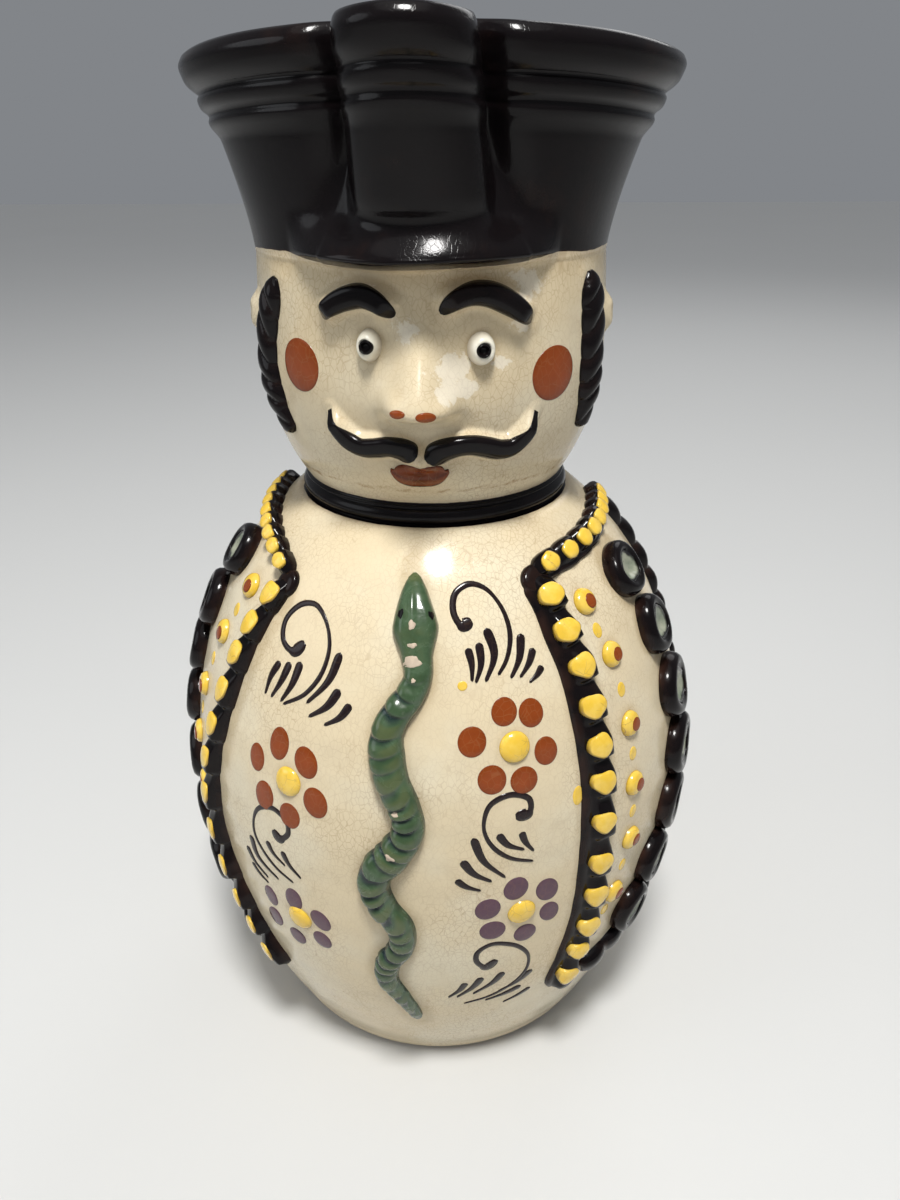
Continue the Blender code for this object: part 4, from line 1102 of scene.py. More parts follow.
MAKERS = {
    maker.__name__: maker
    for maker in (jug_glaze, black_glaze, yellow_enamel, snake_glaze, button_hollow_glaze, bare_chip, eye_glaze)
}


def material(name, colours):
    """The material of that name, made once: a glaze of its own or one of the paints."""
    return bpy.data.materials.get(name) or MAKERS.get(name, paint)(Glaze(name), colours)


def chosen(context):
    """The form and the colours that the panel's values give."""
    group = context.scene.jug_colours
    colours = {name: tuple(getattr(group, name)) for name in JugColours.__annotations__}
    return Form(context.scene.jug_sizes), types.SimpleNamespace(**colours)


class JUG_OT_vessel(bpy.types.Operator):
    """Turns the hollow vessel with its modelled face, visor, spout and rim"""

    bl_idname = "jug.vessel"
    bl_label = "Vessel"

    def execute(self, context):
        form, colours = chosen(context)
        points, values = vessel_rows(form)
        rows, count, _ = points.shape
        points = np.concatenate([points.reshape(-1, 3), [[0, 0, 0], [0, 0, form.floor]]])
        ends = {
            "ink": (NO_BLACK, NO_BLACK), "bare": (1.0, 0.0), "inner": (0.0, 1.0),
            "grime": (0.1, 0.1), "pale": (0.0, 0.0),
        }
        layers = [(name, np.append(values[name].ravel(), ends[name])) for name in ends]
        faces = closed_faces(rows, count)
        piece = make_object("vessel", points, faces, [material("jug_glaze", colours)], None, layers)
        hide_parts("jug")
        return {"FINISHED"}


class JUG_OT_handle(bpy.types.Operator):
    """Pulls the strap handle at the back"""

    bl_idname = "jug.handle"
    bl_label = "Handle"

    def execute(self, context):
        form, colours = chosen(context)
        reach, top, drop = HANDLE_REACH, HANDLE_TOP, HANDLE_TOP - HANDLE_FOOT
        root = form.hat_wall_radius(np.array([180.0]), np.array([0.67]), 0.0)[0] - 2.7
        outer = form.head_radius + reach
        foot = form.turned_radius(np.array(HANDLE_FOOT)) - 3.0
        way = np.array([
            (root, top), (root + 0.35 * reach, top + 0.035 * drop), (root + 0.72 * reach, top - 0.03 * drop),
            (outer - 4, top - 0.18 * drop), (outer, top - 0.36 * drop), (outer - 2, top - 0.54 * drop),
            (outer - 8, top - 0.72 * drop), (outer - 17, top - 0.87 * drop), (float(foot), HANDLE_FOOT),
        ])
        count = 110
        spots = curve(np.linspace(0.0, 8.0, count), np.arange(9.0), way)
        ahead = unit(np.gradient(spots, axis=0))
        out = np.stack([-ahead[:, 1], ahead[:, 0]], axis=-1)
        share = np.linspace(0.0, 1.0, count)
        half = HANDLE_HALF - HANDLE_TAPER * share
        flare = 1.0 + 0.24 * (1.0 - smooth(share, 0.0, 0.13)) + 0.36 * smooth(share, 0.82, 1.0)
        angle = around(40)
        side = np.sign(np.cos(angle)) * np.abs(np.cos(angle)) ** 0.85
        rise = np.sign(np.sin(angle)) * np.abs(np.sin(angle)) ** 0.80
        groove = 1.0 - 0.16 * hump(side, 0.0, 0.35) * (rise > 0) + 0.05 * hump(np.abs(side), 0.6, 0.2)
        width = (half * flare)[:, None] * side[None, :]
        thick = (HANDLE_THICK * (1.0 + 0.25 * (flare - 1.0)))[:, None] * (rise * groove)[None, :]
        rings = np.stack([
            width, spots[:, :1] + out[:, :1] * thick, spots[:, 1:] + out[:, 1:] * thick,
        ], axis=-1)
        shells = Shells()
        shells.tube(rings, 0.4 * hump(np.abs(side), 1.0, 0.15)[None, :])
        shells.make("handle", colours, "black_glaze")
        return {"FINISHED"}


class JUG_OT_face(bpy.types.Operator):
    """Sets the eyes and paints brows, moustache, lips, cheeks and nostrils over the modelled relief"""

    bl_idname = "jug.face"
    bl_label = "Face"

    def execute(self, context):
        form, colours = chosen(context)
        section = np.linspace(-0.5, 0.5, 11)
        crown = crowned(2.0 * section, 4)
        hair = Shells()
        for way, size in zip(BROWS, BROW_WIDTHS):
            line = way_through(way, 70)
            share = np.linspace(0.0, 1.0, 70)
            ends = crowned(2.0 * share - 1.0, 4) * (0.80 + 0.20 * hump(share, 0.55, 0.3))
            lifts = 0.36 * ends[:, None] * crown[None, :] + 0.10
            hair.tube(lay_band(form, line, size * ends + 0.05, section, lifts))
        for way, size in zip(MOUSTACHE, MOUSTACHE_WIDTHS):
            line = way_through(way, 90)
            share = np.linspace(0.0, 1.0, 90)
            taper = 1.0 - 0.76 * smooth(share, 0.66, 1.0)
            ends = blunt(share, 0.10) * taper * (0.90 + 0.14 * hump(share, 0.12, 0.12))
            lifts = 0.36 * np.minimum(ends, 1.0)[:, None] * crown[None, :] + 0.10
            hair.tube(lay_band(form, line, size * ends + 0.05, section, lifts))
        hair.make("brows_and_moustache", colours, "black_glaze")
        left, right, top, bottom = LIPS
        share = np.linspace(0.0, 1.0, 44)
        turn = left + (right - left) * share
        upper = top - 0.5 * hump(turn, 0.0, 1.6) + 0.2 * hump(turn, 4.5, 3.0) - 2.0 * np.abs(2 * share - 1) ** 6
        lower = top - 1.2 - (top - 1.2 - bottom) * crowned(2 * share - 1, 2.3)
        line = np.stack([turn, 0.5 * (upper + lower)], axis=-1)
        mouth = np.clip(hump(section[None, :], 0.10, 0.09) + 0.6 * hump(turn[:, None], 0.0, 1.4), 0.0, 1.0)
        pool = np.maximum(mouth, np.abs(2 * section[None, :]) ** 3)
        pool = np.concatenate([mouth[:, :1], pool, mouth[:, -1:]], axis=1)
        lips = Shells()
        lifts = 0.10 + 0.24 * crown[None, :] - 0.12 * mouth
        shade = np.clip(0.75 + 1.6 * pool, 0.0, 2.6)
        lips.tube(lay_band(form, line, np.maximum(1.12 * (upper - lower), 0.05), section, lifts), shade)
        for patches, thick in ((CHEEKS, 0.22), (NOSTRILS, 0.34)):
            for rings in lay_pat(form, patches, FLAT_RADII, paint_lifts(thick), sides=40):
                lips.tube(rings, FLAT_SHADE)
        lips.make("lips_cheeks_and_nostrils", colours, "brown_paint")
        eyes, pupils = Shells(), Shells()
        for turn, z, wide, tall in EYES:
            look = 0.5 if turn < 0 else -0.4
            radii = (1.08, 1.04, 1.02, 0.96, 0.86, 0.74, 0.64, 0.56, 0.46, 0.30, 0.10)
            lifts = (-1.6, -0.4, 0.9, 2.1, 3.0, 3.5, 3.6, 3.4, 2.9, 2.5, 2.4)
            rings = lay_pat(form, [(turn, z, wide, tall, 0)], radii, lifts, sides=36)[0]
            # Painted shade and stain at the dome's foot, where it meets the face.
            eyes.tube(rings, ring_values(0.6, 0.7, 0.5, 0.15, *[0] * 7))
            place = [(turn + look, z - 0.15, *PUPIL, 0)]
            radii = (1.04, 1.02, 0.98, 0.88, 0.74, 0.56, 0.38, 0.15)
            lifts = (2.7, 3.5, 3.95, 4.15, 4.0, 3.4, 3.0, 2.95)
            pupils.tube(lay_pat(form, place, radii, lifts, sides=32)[0])
        eyes.make("eyes", colours, "eye_glaze")
        pupils.make("pupils", colours, "black_glaze")
        return {"FINISHED"}


class JUG_OT_side_locks(bpy.types.Operator):
    """Lays the twisted locks of hair before the ears"""

    bl_idname = "jug.side_locks"
    bl_label = "Side locks"

    def execute(self, context):
        form, colours = chosen(context)
        section = np.linspace(-0.5, 0.5, 15)
        shells = Shells()
        for way, lean, width in zip(SIDE_LOCKS, (1.0, -1.0), LOCK_WIDTHS):
            count = 170
            line = way_through(way, count)
            share = np.linspace(0.0, 1.0, count)
            ends = np.sqrt(smooth(share, -0.02, 0.10)) * np.sqrt(smooth(1.0 - share, -0.01, 0.04))
            taper = (0.80 + 0.20 * smooth(share, 0.0, 0.25)) * (1.0 - 0.34 * smooth(share, 0.68, 1.0))
            phase = LOCK_TWISTS * share[:, None] + 0.18 * np.sin(9.0 * share[:, None]) + lean * 0.95 * section[None, :]
            twist = np.abs(np.sin(np.pi * phase)) ** 0.5
            crown = crowned(2.0 * section, 2.6)
            edge = np.abs(np.sin(np.pi * (LOCK_TWISTS * share + 0.45 * lean))) ** 0.5
            lifts = (ends * taper)[:, None] * crown[None, :] * (1.9 + 1.25 * twist) + 0.06
            rings = lay_band(form, line, width * ends * taper * (0.90 + 0.10 * edge) + 0.1, section, lifts)
            shells.tube(rings, 0.22 * np.pad(1.0 - twist, ((0, 0), (1, 1))))
        shells.make("side_locks", colours, "black_glaze")
        return {"FINISHED"}


class JUG_OT_snake(bpy.types.Operator):
    """Lays the snake down the front, with pressed folds, eyes and the chips it has taken"""

    bl_idname = "jug.snake"
    bl_label = "Snake"

    @staticmethod
    def body(share, across):
        """Half width, lift and depth of fold of the snake: a leaf for its head, then a long taper.

        share runs from the snout to the tail, across from -1 to 1, positive to the viewer's right. Each
        fold climbs slowly towards the tail and drops at once to the next, along a curved front that lies
        lowest a little right of the ridge.
        """
        long = SNAKE_LENGTH * share
        half = np.interp(long, *SNAKE_WIDTHS) + 0.05
        tall = np.interp(long, *SNAKE_LIFTS)
        dome = crowned(across, 2.6)
        beat = long / 4.5 + 0.26 * np.sin(0.105 * long) + 0.14 * np.sin(0.41 * long + 1.0)
        front = 0.36 * (1.0 - np.minimum((across - 0.20) ** 2 / 0.9, 1.6))
        step = (beat - front) % 1.0
        hollow = 1.0 - smooth(step, 0.0, 0.62) + smooth(step, 0.86, 1.0)
        weight = smooth(long, 17.5, 26.0) * (1.0 - 0.45 * smooth(long, 125.0, SNAKE_LENGTH))
        weight = weight * (0.55 + 0.25 * smooth(long, 55.0, 80.0) + 0.20 * np.sin(0.23 * long))
        weight = weight * (0.15 + 0.85 * smooth(across, -0.95, 0.0))
        keel = 0.5 * hump(across, 0.08, 0.16) * smooth(long, 1.0, 7.0) * (1.0 - smooth(long, 15.0, 20.0))
        cheek = 0.45 * (hump(across, -0.66, 0.25) + hump(across, 0.52, 0.25)) * hump(long, 10.5, 4.5)
        lift = tall * dome * (1.0 - 0.31 * hollow * weight) + (keel + cheek) * dome
        wave = 1.0 - 0.10 * hollow * weight * (across > 0.0)
        return half * wave, lift, np.clip(hollow, 0.0, 1.0) ** 1.5 * weight

    def execute(self, context):
        form, colours = chosen(context)
        count, sides = 520, 29
        share = np.linspace(0.0, 1.0, count)
        line = way_through(SNAKE, count)
        section = np.linspace(-0.5, 0.5, sides)
        half, lifts, fold = self.body(share[:, None], 2.0 * section[None, :])
        rings = lay_band(form, line, 2.0 * half, section, lifts + 0.02)
        shells = Shells()
        # The shade value is painted shade: deep in the folds, and along both edges where the snake meets the wall.
        rim = np.abs(2.0 * section[None, :]) ** 6
        shells.tube(rings, with_edges(np.clip(fold + 0.5 * rim, 0.0, 1.0)))
        shells.make("snake", colours, "snake_glaze")
        marks = Shells()
        for long, across, size, tone in SNAKE_MARKS:
            marks.tube(self.mark(form, share, line, long, across, size, 0.16 if tone else 0.12), slot=tone)
        marks.make("snake_eyes_and_chips", colours, "black_glaze", "bare_chip")
        return {"FINISHED"}

    def mark(self, form, share, line, long, across, size, thick):
        """A small oval shell that follows the snake's back."""
        def spots(where):
            return np.stack([np.interp(where, share, line[:, k]).ravel() for k in (0, 1)], axis=-1)

        angle = around(18)
        radii = ring_values(0.8, 1.0, 1.0, 0.9, 0.55, 0.15)
        ragged = 1.0 + 0.14 * np.sin(3 * angle + long) + 0.10 * np.sin(5 * angle + 2 * long)
        out = ring_values(-0.7, -0.4, 0.4, 0.85, 1.0, 1.0) * thick
        place = (long + size[1] * radii * ragged * np.sin(angle)) / SNAKE_LENGTH
        half, _, _ = self.body(np.array([long / SNAKE_LENGTH]), np.array([0.0]))
        side = across + size[0] * radii * ragged * np.cos(angle) / half[0]
        width, lift, _ = self.body(place, side)
        flat, before, after = spots(place), spots(place - 0.004), spots(place + 0.004)
        normal, level, upward = form.smooth_frame(flat[:, 0], flat[:, 1])
        ahead = unit(form.wall_point(after[:, 0], after[:, 1]) - form.wall_point(before[:, 0], before[:, 1]))
        across_way = unit(np.cross(ahead, normal))
        step = (width * side).ravel()
        turn, z = form.shifted(
            flat[:, 0], flat[:, 1], step * (across_way * level).sum(-1), step * (across_way * upward).sum(-1)
        )
        base, normal, _, _ = form.wall_frame(turn, z)
        high = (lift + out + 0.0 * place).ravel()
        return (base + normal * high[:, None]).reshape(*place.shape, 3)


class Border:
    """A beaded border: pressed scales along its outer side and a flat strip along its inner side."""

    def __init__(self, form, places, width, outer, strip=1.0):
        """places holds one end, a (turn, height) for each bead, and the other end."""
        self.form, self.width, self.outer, self.strip = form, width, outer, strip
        self.places = np.asarray(places, float)
        self.beads = len(places) - 2
        self.knots = np.array([0.0, *[k + BEAD_PLACE for k in range(self.beads)], self.beads])

    def surface(self, t, v, even=False):
        """Points at t beads along and v from -1 to 1 across, the outer side at v = 1.

        Each bead climbs slowly to a rounded lip and drops at once, like a pressed scale; the outer edge
        swells with it, and the inner one too where there is no flat strip. Both ends close in a round.
        With even set, v keeps one measure all along, for what lies on the border.
        """
        beat = t % 1.0
        scale = smooth(beat, 0.0, 0.55) * (1.0 - smooth(beat, 0.88, 1.0))
        low, middle, reach = -0.95 + 0.33 * self.strip, 0.30 * self.strip, 1.0 - 0.28 * self.strip
        outer = smooth(v, low, low + 0.40)
        flat_top = crowned(v, 6)
        plateau = crowned((v - middle) / reach, 3.5)
        gap = np.minimum(t + 0.06, self.beads + 0.06 - t)
        run = blunt(gap, 0.36)
        lift = (1.35 * flat_top + (0.7 + 2.15 * scale) * outer * plateau) * run**0.5 + 0.04
        swell = 0.18 * (scale - 0.35) * np.where(v > 0, 1.0, 1.0 - self.strip)
        half = 0.5 * self.width * (0.93 + swell) * np.maximum(run, 0.06)
        half = half * (1.0 - 0.13 * smooth(np.abs(2.0 * t / self.beads - 1.0), 0.55, 1.0))
        sides = np.where(v > 0.0, 1.0 - 0.24 * self.strip, 0.68 + 0.32 * self.strip)
        half = 0.5 * self.width if even else half * sides
        flat = t.ravel()
        place = curve(flat, self.knots, self.places)
        ahead = curve(flat + 0.05, self.knots, self.places) - curve(flat - 0.05, self.knots, self.places)
        normal, level, upward = self.form.smooth_frame(place[:, 0], place[:, 1])
        radius = self.form.turned_radius(place[:, 1])
        forward = (
            level * (np.radians(ahead[:, 0]) * radius)[:, None]
            + upward * (ahead[:, 1] / np.clip(upward[:, 2], 0.25, 1.0))[:, None]
        )
        pitch = 10.0 * np.linalg.norm(forward, axis=-1)
        across = self.outer * np.cross(unit(forward), normal)
        step = (half * v).ravel()
        turn, z = self.form.shifted(
            place[:, 0], place[:, 1], step * (across * level).sum(-1), step * (across * upward).sum(-1)
        )
        base, out, _, _ = self.form.wall_frame(turn, z)
        return base.reshape(*t.shape, 3), out.reshape(*t.shape, 3), lift, pitch.reshape(t.shape)

    def add(self, cords, pads, seed, pad_half, pad_place):
        """Adds the border's own shell to cords and its beads, of these half sizes and this place, to pads."""
        count = self.beads * 18 + 1
        t = np.linspace(0.0, self.beads, count)[:, None] + np.zeros((1, 21))
        v = np.linspace(-1.0, 1.0, 21)[None, :] + np.zeros((count, 1))
        base, out, lift, _ = self.surface(t, v)
        rings = base + out * lift[..., None]
        low = base[:, [0, -1]] + ROOT * out[:, [0, -1]]
        rings = np.concatenate([low[:, :1], rings, low[:, 1:]], axis=1)
        edge = np.clip(np.abs(v) ** 6 + 0.45 * self.strip * (1.0 - smooth(v, -0.8, -0.45)), 0.0, 1.0)
        cords.tube(rings, 0.45 * with_edges(edge))
        chance = np.random.default_rng(seed)
        angle = around(32)[None, :]
        radii = ring_values(0.92, 1.0, 1.0, 0.94, 0.82, 0.58, 0.24)
        above = ring_values(-0.4, -0.15, 0.12, 0.26, 0.36, 0.44, 0.46)
        for bead in range(self.beads):
            _, _, _, pitch = self.surface(np.array([[bead + BEAD_PLACE]]), np.zeros((1, 1)))
            wide = pad_half[0] * (1.0 + 0.10 * (chance.random() - 0.5)) / (0.5 * self.width)
            tall = min(pad_half[1] * (1.0 + 0.12 * (chance.random() - 0.5)) / pitch[0, 0], 0.40)
            lean, shift = 0.3 * (chance.random() - 0.5), 0.06 * (chance.random() - 0.5)
            x, y = radii * np.cos(angle), radii * np.sin(angle)
            y = y + 0.12 * (1.0 - x**2) * radii - 0.05
            ragged = 1.0 + 0.04 * np.sin(3 * angle + 6 * chance.random()) + 0.03 * np.sin(5 * angle)
            v = pad_place + shift + wide * ragged * (x * np.cos(lean) - y * np.sin(lean))
            t = bead + BEAD_PLACE + tall * ragged * (x * np.sin(lean) + y * np.cos(lean))
            base, out, lift, _ = self.surface(np.clip(t, 0.0, self.beads), v, even=True)
            level_lift = 0.45 * lift + 0.55 * np.median(lift)
            rings = base + out * (np.where(above > 0.1, np.maximum(level_lift, lift), lift) + above)[..., None]
            # Each pad's rim is olive brown where the enamel thins, and darker still on its lower side, which is
            # painted shade.
            shaded_lower_side = np.clip(0.5 + 0.7 * np.sin(angle), 0.0, 1.0)
            shade = ring_values(1, 1, 1, 0.80, 0.35, 0.1, 0) * (0.50 + 0.80 * shaded_lower_side)
            pads.tube(rings, np.clip(shade, 0.0, 1.0))


class JUG_OT_borders(bpy.types.Operator):
    """Lays the jacket's beaded borders and their yellow beads"""

    bl_idname = "jug.borders"
    bl_label = "Jacket borders"

    def execute(self, context):
        form, colours = chosen(context)
        cords, pads = Shells(), Shells()
        for places, share, outer, strip, seed, pad_half, pad_place in (
            ((RIGHT_ENDS[0], *RIGHT_BEADS, RIGHT_ENDS[1]), 1.0, -1.0, 1.0, 3, (3.55, 3.3), 0.0),
            ((LEFT_ENDS[0], *LEFT_BEADS, LEFT_ENDS[1]), 0.68, 1.0, 0.0, 4, (3.0, 3.4), 0.22),
            (RIGHT_NECKLINE, 0.78, -1.0, 0.7, 5, (2.5, 2.5), 0.05),
            (LEFT_NECKLINE, 0.60, 1.0, 0.4, 6, (2.2, 2.4), 0.05),
        ):
            border = Border(form, places, share * form.border_width, outer, strip)
            border.add(cords, pads, seed, pad_half, pad_place)
        corners = [(33.9, 171.6, 4.6, 4.2, 0), (-40.9, 168.2, 3.6, 4.0, 0)]
        radii, lifts = (1.06, 1.0, 0.93, 0.80, 0.58, 0.25), (ROOT, 0.6, 1.3, 1.6, 1.8, 1.8)
        for rings in lay_pat(form, corners, radii, lifts, sides=32):
            cords.tube(rings, 0.3)
        back = Shells()
        section = np.linspace(-0.5, 0.5, 13)
        dome = crowned(2 * section, 3)
        for way in (BACK_BORDER, [(2 * MIRROR_TURN - turn, z) for turn, z in BACK_BORDER]):
            count = 300
            line = way_through(way, count)
            beat = np.abs(np.sin(np.pi * np.linspace(0.0, BACK_BORDER_SCALES, count))) ** 0.6
            lifts = dome[None, :] * (1.6 + 1.9 * beat[:, None]) + 0.03
            width = BACK_BORDER_WIDTH * (0.88 + 0.12 * beat)
            back.tube(lay_band(form, line, width, section, lifts), 0.5 * (1 - beat[:, None]))
        cords.make("jacket_borders", colours, "black_glaze")
        pads.make("border_beads", colours, "yellow_enamel")
        back.make("back_borders", colours, "black_glaze")
        return {"FINISHED"}


class JUG_OT_fittings(bpy.types.Operator):
    """Presses the buttons and sets knobs and dabs of colour beside them"""

    bl_idname = "jug.fittings"
    bl_label = "Buttons and knobs"

    def execute(self, context):
        form, colours = chosen(context)
        chance = np.random.default_rng(11)
        sides = 48
        angle = around(sides)[None, :]
        outer = ring_values(0.98, 1.02, 1.03, 1.0, 0.94, 0.85, 0.74, 0.64, 0.56)
        rise = ring_values(-0.16, 0.0, 0.22, 0.48, 0.76, 0.94, 1.0, 0.95, 0.84)
        inner = np.linspace(1.0, 0.06, 12)[:, None]
        edge = np.concatenate([ring_values(0.8, 0.8, 0.5, 0.2, 0, 0, 0, 0, 0), 0 * inner]) + 0 * angle
        cover = ring_values(0.06, 0.34, 0.66, 0.92, 1.0, 1.04, 1.03, 0.98, 0.90, 0.78, 0.62, 0.46, 0.30, 0.15, 0.05)
        deep = 0.84 - 0.38 * (1.0 - smooth(cover * 0.92, 0.25, 1.0))
        above = ring_values(*[-0.06] * 4, -0.05, -0.01, 0.02, 0.035, 0.04, *[0.045] * 6)
        pooled = form.button_lift * (deep + above) + 0 * angle
        depth = 1.0 - smooth(inner, 0.25, 1.0)
        lifts = form.button_lift * np.concatenate([rise + 0 * angle, 0.84 - 0.38 * depth + 0 * angle])
        buttons, hollows = Shells(), Shells()
        for turn, z, size in (*RIGHT_BUTTONS, *LEFT_BUTTONS):
            phase, tip = 6.283 * chance.random(), 0.4 * (chance.random() - 0.5)
            shape = 1.0 + 0.03 * np.sin(2 * angle + phase) + 0.02 * np.sin(3 * angle - phase)
            thumb = 0.62 * (1.0 + 0.08 * np.cos(2 * angle + tip) + 0.12 * np.sin(-3 * angle + 3 * tip))
            radii = np.concatenate([outer * shape, thumb * inner])
            place = [(turn, z, size * form.button_radius, size * form.button_radius * 1.02, 0)]
            buttons.tube(lay_pat(form, place, radii[None], lifts[None], sides=sides)[0], edge)
            rings = lay_pat(form, place, (thumb * 0.92 * cover)[None], pooled[None], sides=sides)[0]
            hollows.tube(rings, smooth(cover, 0.35, 1.0) + 0 * angle)
        buttons.make("buttons", colours, "black_glaze")
        hollows.make("button_hollows", colours, "button_hollow_glaze")
        radii = (1.08, 1.0, 0.97, 0.90, 0.76, 0.54, 0.24)
        lifts = (ROOT, 0.15, 0.6, 1.15, 1.6, 1.85, 1.95)
        shade = ring_values(1, 0.8, 0.4, 0.15, 0, 0, 0)
        knobs, spots = Shells(), Shells()
        places = [(turn, z, *KNOB, 0) for turn, z in (*RIGHT_KNOBS, *LEFT_KNOBS)]
        for rings in lay_pat(form, places, radii, lifts, sides=30):
            knobs.tube(rings, shade)
        places = [(turn, z, *DAB, 0) for turn, z in (*RIGHT_DABS, *LEFT_DABS)]
        for rings in lay_pat(form, [*places, *YELLOW_DABS], FLAT_RADII, paint_lifts(0.25), sides=24):
            knobs.tube(rings, 0.35 * ring_values(1, 1, 1, 1, 0.6, 0.2, 0))
        places = [(turn + 0.6, z - 0.3, *KNOB_SPOT, 0) for turn, z in (*RIGHT_KNOBS, *LEFT_KNOBS)]
        dot = (1.0, 1.4, 1.84, 1.98, 2.08, 2.14, 2.16)
        for rings in lay_pat(form, places, FLAT_RADII, dot, sides=24):
            spots.tube(rings, FLAT_SHADE)
        knobs.make("knobs_and_dabs", colours, "yellow_enamel")
        spots.make("knob_spots", colours, "brown_paint")
        return {"FINISHED"}


class JUG_OT_flowers(bpy.types.Operator):
    """Paints the flowers and raises their hearts"""

    bl_idname = "jug.flowers"
    bl_label = "Flowers"

    def execute(self, context):
        form, colours = chosen(context)
        radii = (1.12, 1.0, 0.96, 0.85, 0.68, 0.45, 0.2)
        lifts = (-0.6, 0.1, 0.5, 0.95, 1.3, 1.5, 1.6)
        hearts = Shells()
        for tone, flowers in (("brown", BROWN_FLOWERS), ("purple", PURPLE_FLOWERS)):
            petals = Shells()
            for heart, places in flowers:
                for rings in lay_pat(form, places, FLAT_RADII, paint_lifts(0.28), sides=32):
                    petals.tube(rings, FLAT_SHADE)
                for rings in lay_pat(form, [(*heart, *FLOWER_HEART, 0)], radii, lifts, sides=36):
                    hearts.tube(rings, ring_values(0.9, 0.7, 0.35, 0.1, 0, 0, 0))
            petals.make(f"{tone}_petals", colours, f"{tone}_paint")
        hearts.make("flower_hearts", colours, "yellow_enamel")
        return {"FINISHED"}


class JUG_OT_brushwork(bpy.types.Operator):
    """Brushes the black scrolls and the tapering strokes under them"""

    bl_idname = "jug.brushwork"
    bl_label = "Brushwork"

    def execute(self, context):
        form, colours = chosen(context)
        section = np.linspace(-0.5, 0.5, 5)
        crown = np.array([0.25, 0.9, 1.0, 0.9, 0.25])
        shells = Shells()
        for way in SCROLLS:
            count = 120
            line = way_through(way, count)
            share = np.linspace(0.0, 1.0, count)
            blob = crowned((share - 0.045) / 0.05, 2)
            knots = (0.0, 0.05, 0.12, 0.35, 0.55, 0.78, 0.95, 1.0)
            thread = np.interp(share, knots, (0.3, 1.8, 1.7, 1.75, 1.0, 1.4, 1.05, 0.8))
            width = np.maximum(3.6 * blob, thread) * np.sqrt(np.clip((1.0 - share) / 0.006, 0.0, 1.0)) + 0.04
            lifts = 0.22 * crown[None, :] + 0.0 * share[:, None]
            shells.tube(lay_band(form, line, width, section, lifts), 0.3)
        for way in STROKES:
            count = 30
            line = way_through(way, count)
            share = np.linspace(0.0, 1.0, count)
            reach = np.hypot((way[0][0] - way[-1][0]) * 1.3, way[0][1] - way[-1][1])
            size = 1.9 + 0.7 * hump(reach, 14.0, 5.0)
            tip = np.sqrt(np.clip((1.0 - share) / 0.05, 0.0, 1.0))
            width = size * blunt(share, 0.12) * tip * (1.0 - 0.58 * smooth(share, 0.15, 1.0)) + 0.05
            lifts = 0.24 * crown[None, :] + 0.0 * share[:, None]
            shells.tube(lay_band(form, line, width, section, lifts), 0.3)
        shells.make("brushwork", colours, "brush_black")
        return {"FINISHED"}


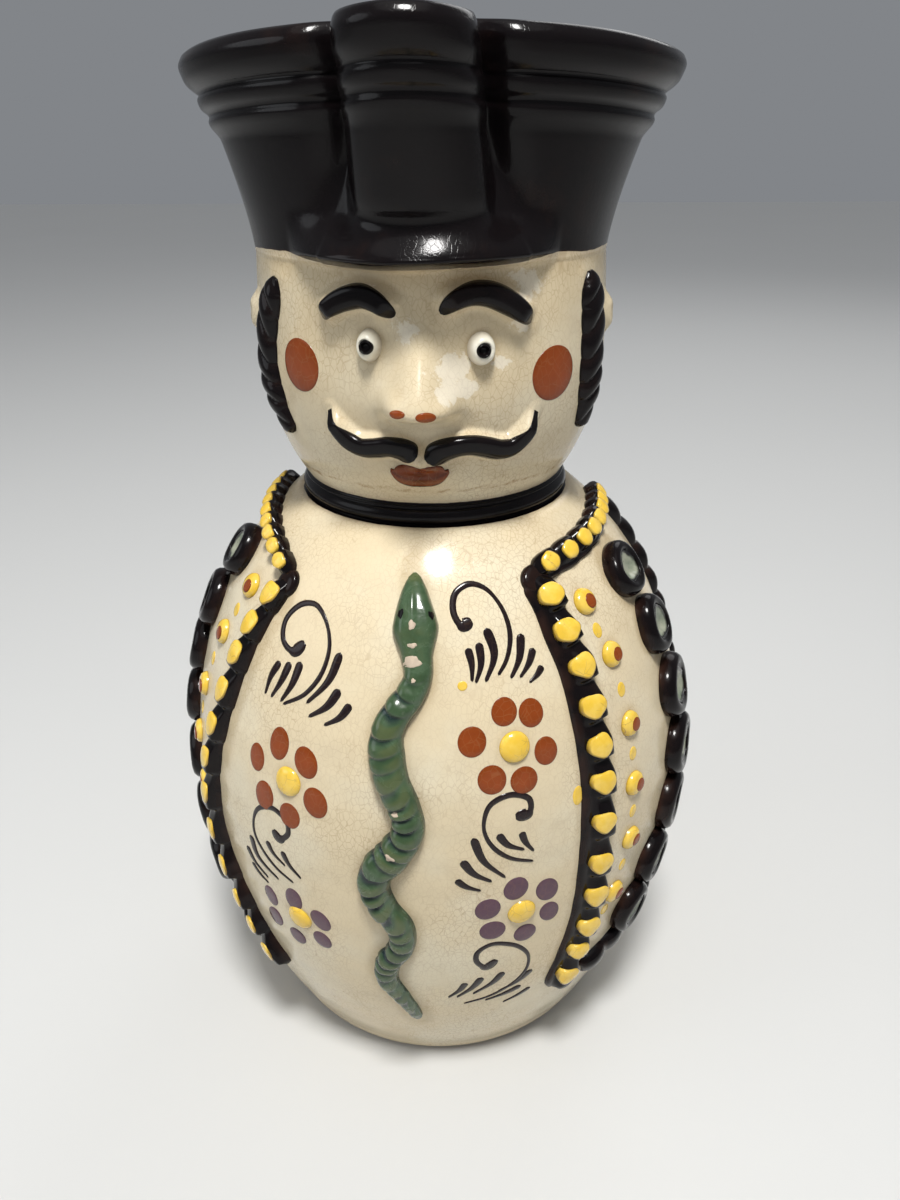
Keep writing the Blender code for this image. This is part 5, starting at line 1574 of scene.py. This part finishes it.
class JUG_OT_stage(bpy.types.Operator):
    """Lays the plain floor and sets soft lights and the camera"""

    bl_idname = "jug.stage"
    bl_label = "Stage"

    def execute(self, context):
        _, colours = chosen(context)
        scene, half = context.scene, FLOOR_HALF
        mesh = bpy.data.meshes.new("floor")
        mesh.from_pydata([(-half, -half, 0), (half, -half, 0), (half, half, 0), (-half, half, 0)], [], [(0, 1, 2, 3)])
        floor = bpy.data.objects.new("floor", mesh)
        glaze = Glaze("floor_paper")
        shade = glaze.mix(glaze.noise(3.0), colours.floor, tuple(0.97 * part for part in colours.floor))
        mesh.materials.append(glaze.finish(shade, 0.75, coat=0.0))
        scene.collection.objects.link(floor)
        world = bpy.data.worlds.new("studio")
        world.use_nodes = True
        background = world.node_tree.nodes["Background"]
        background.inputs[0].default_value = WORLD_TONE
        background.inputs[1].default_value = WORLD_POWER
        scene.view_settings.view_transform = "Standard"
        scene.world = world
        for name, place, size, power, tone in LAMPS:
            aim = np.array([0.0, 0.0, AIM_HEIGHT]) - np.array(place)
            turn = (math.atan2(math.hypot(aim[0], aim[1]), -aim[2]), 0.0, math.atan2(-aim[0], aim[1]))
            add_lamp(scene, name, "AREA", place, turn, shape="DISK", size=size, energy=power, color=tone)
        turn = (math.radians(SKY_TILT), 0.0, 0.0)
        add_lamp(scene, "sky", "SUN", (0.0, 0.0, 2.0), turn, energy=SKY_POWER, angle=math.radians(SKY_SPREAD))
        lens = bpy.data.cameras.new("camera")
        lens.sensor_width = SENSOR_WIDTH
        lens.lens = FOCAL_LENGTH
        lens.clip_start = 0.01
        camera = bpy.data.objects.new("camera", lens)
        turn = math.radians(CAMERA_TURN)
        camera.location = (CAMERA_DISTANCE * math.sin(turn), -CAMERA_DISTANCE * math.cos(turn), CAMERA_HEIGHT)
        camera.rotation_mode = "QUATERNION"
        camera.rotation_quaternion = camera_turn(CAMERA_HEADING, 90.0 - CAMERA_DROP, CAMERA_ROLL)
        scene.collection.objects.link(camera)
        scene.camera = camera
        return {"FINISHED"}


def add_lamp(scene, name, kind, place, turn, **settings):
    """Sets a lamp in its place, turned by Euler angles, with its size, power and tone as settings."""
    lamp = bpy.data.lights.new(name, kind)
    for key, value in settings.items():
        setattr(lamp, key, value)
    light = bpy.data.objects.new(name, lamp)
    light.location, light.rotation_euler = place, turn
    scene.collection.objects.link(light)


def camera_turn(heading, pitch, roll):
    """Heading about Z, then pitch about X, then roll about the line of sight, all in degrees."""
    turned = Matrix.Identity(3)
    for angle, axis in ((heading, "Z"), (pitch, "X"), (roll, "Z")):
        turned = turned @ Matrix.Rotation(math.radians(angle), 3, axis)
    return turned.to_quaternion()


OPERATORS = (
    JUG_OT_vessel, JUG_OT_handle, JUG_OT_face, JUG_OT_side_locks, JUG_OT_snake, JUG_OT_borders,
    JUG_OT_fittings, JUG_OT_flowers, JUG_OT_brushwork, JUG_OT_stage,
)


class JUG_PT_panel(bpy.types.Panel):
    """Lists the jug's sizes, colours and the steps that build it"""

    bl_idname = "JUG_PT_panel"
    bl_label = "Figural Jug"
    bl_space_type = "VIEW_3D"
    bl_region_type = "UI"
    bl_category = "Jug"

    def draw(self, context):
        column = self.layout.column(align=True)
        for step in OPERATORS:
            column.operator(step.bl_idname)
        for group in (context.scene.jug_sizes, context.scene.jug_colours):
            column = self.layout.column(align=True)
            for name in type(group).__annotations__:
                column.prop(group, name)


CLASSES = (JugSizes, JugColours, *OPERATORS, JUG_PT_panel)


def register():
    for item in CLASSES:
        bpy.utils.register_class(item)
    bpy.types.Scene.jug_sizes = PointerProperty(type=JugSizes)
    bpy.types.Scene.jug_colours = PointerProperty(type=JugColours)


def unregister():
    del bpy.types.Scene.jug_colours
    del bpy.types.Scene.jug_sizes
    for item in reversed(CLASSES):
        bpy.utils.unregister_class(item)


def main():
    register()
    for step in OPERATORS:
        getattr(bpy.ops.jug, step.bl_idname.split(".")[1])()
    bpy.context.view_layer.update()


if __name__ == "__main__":
    main()
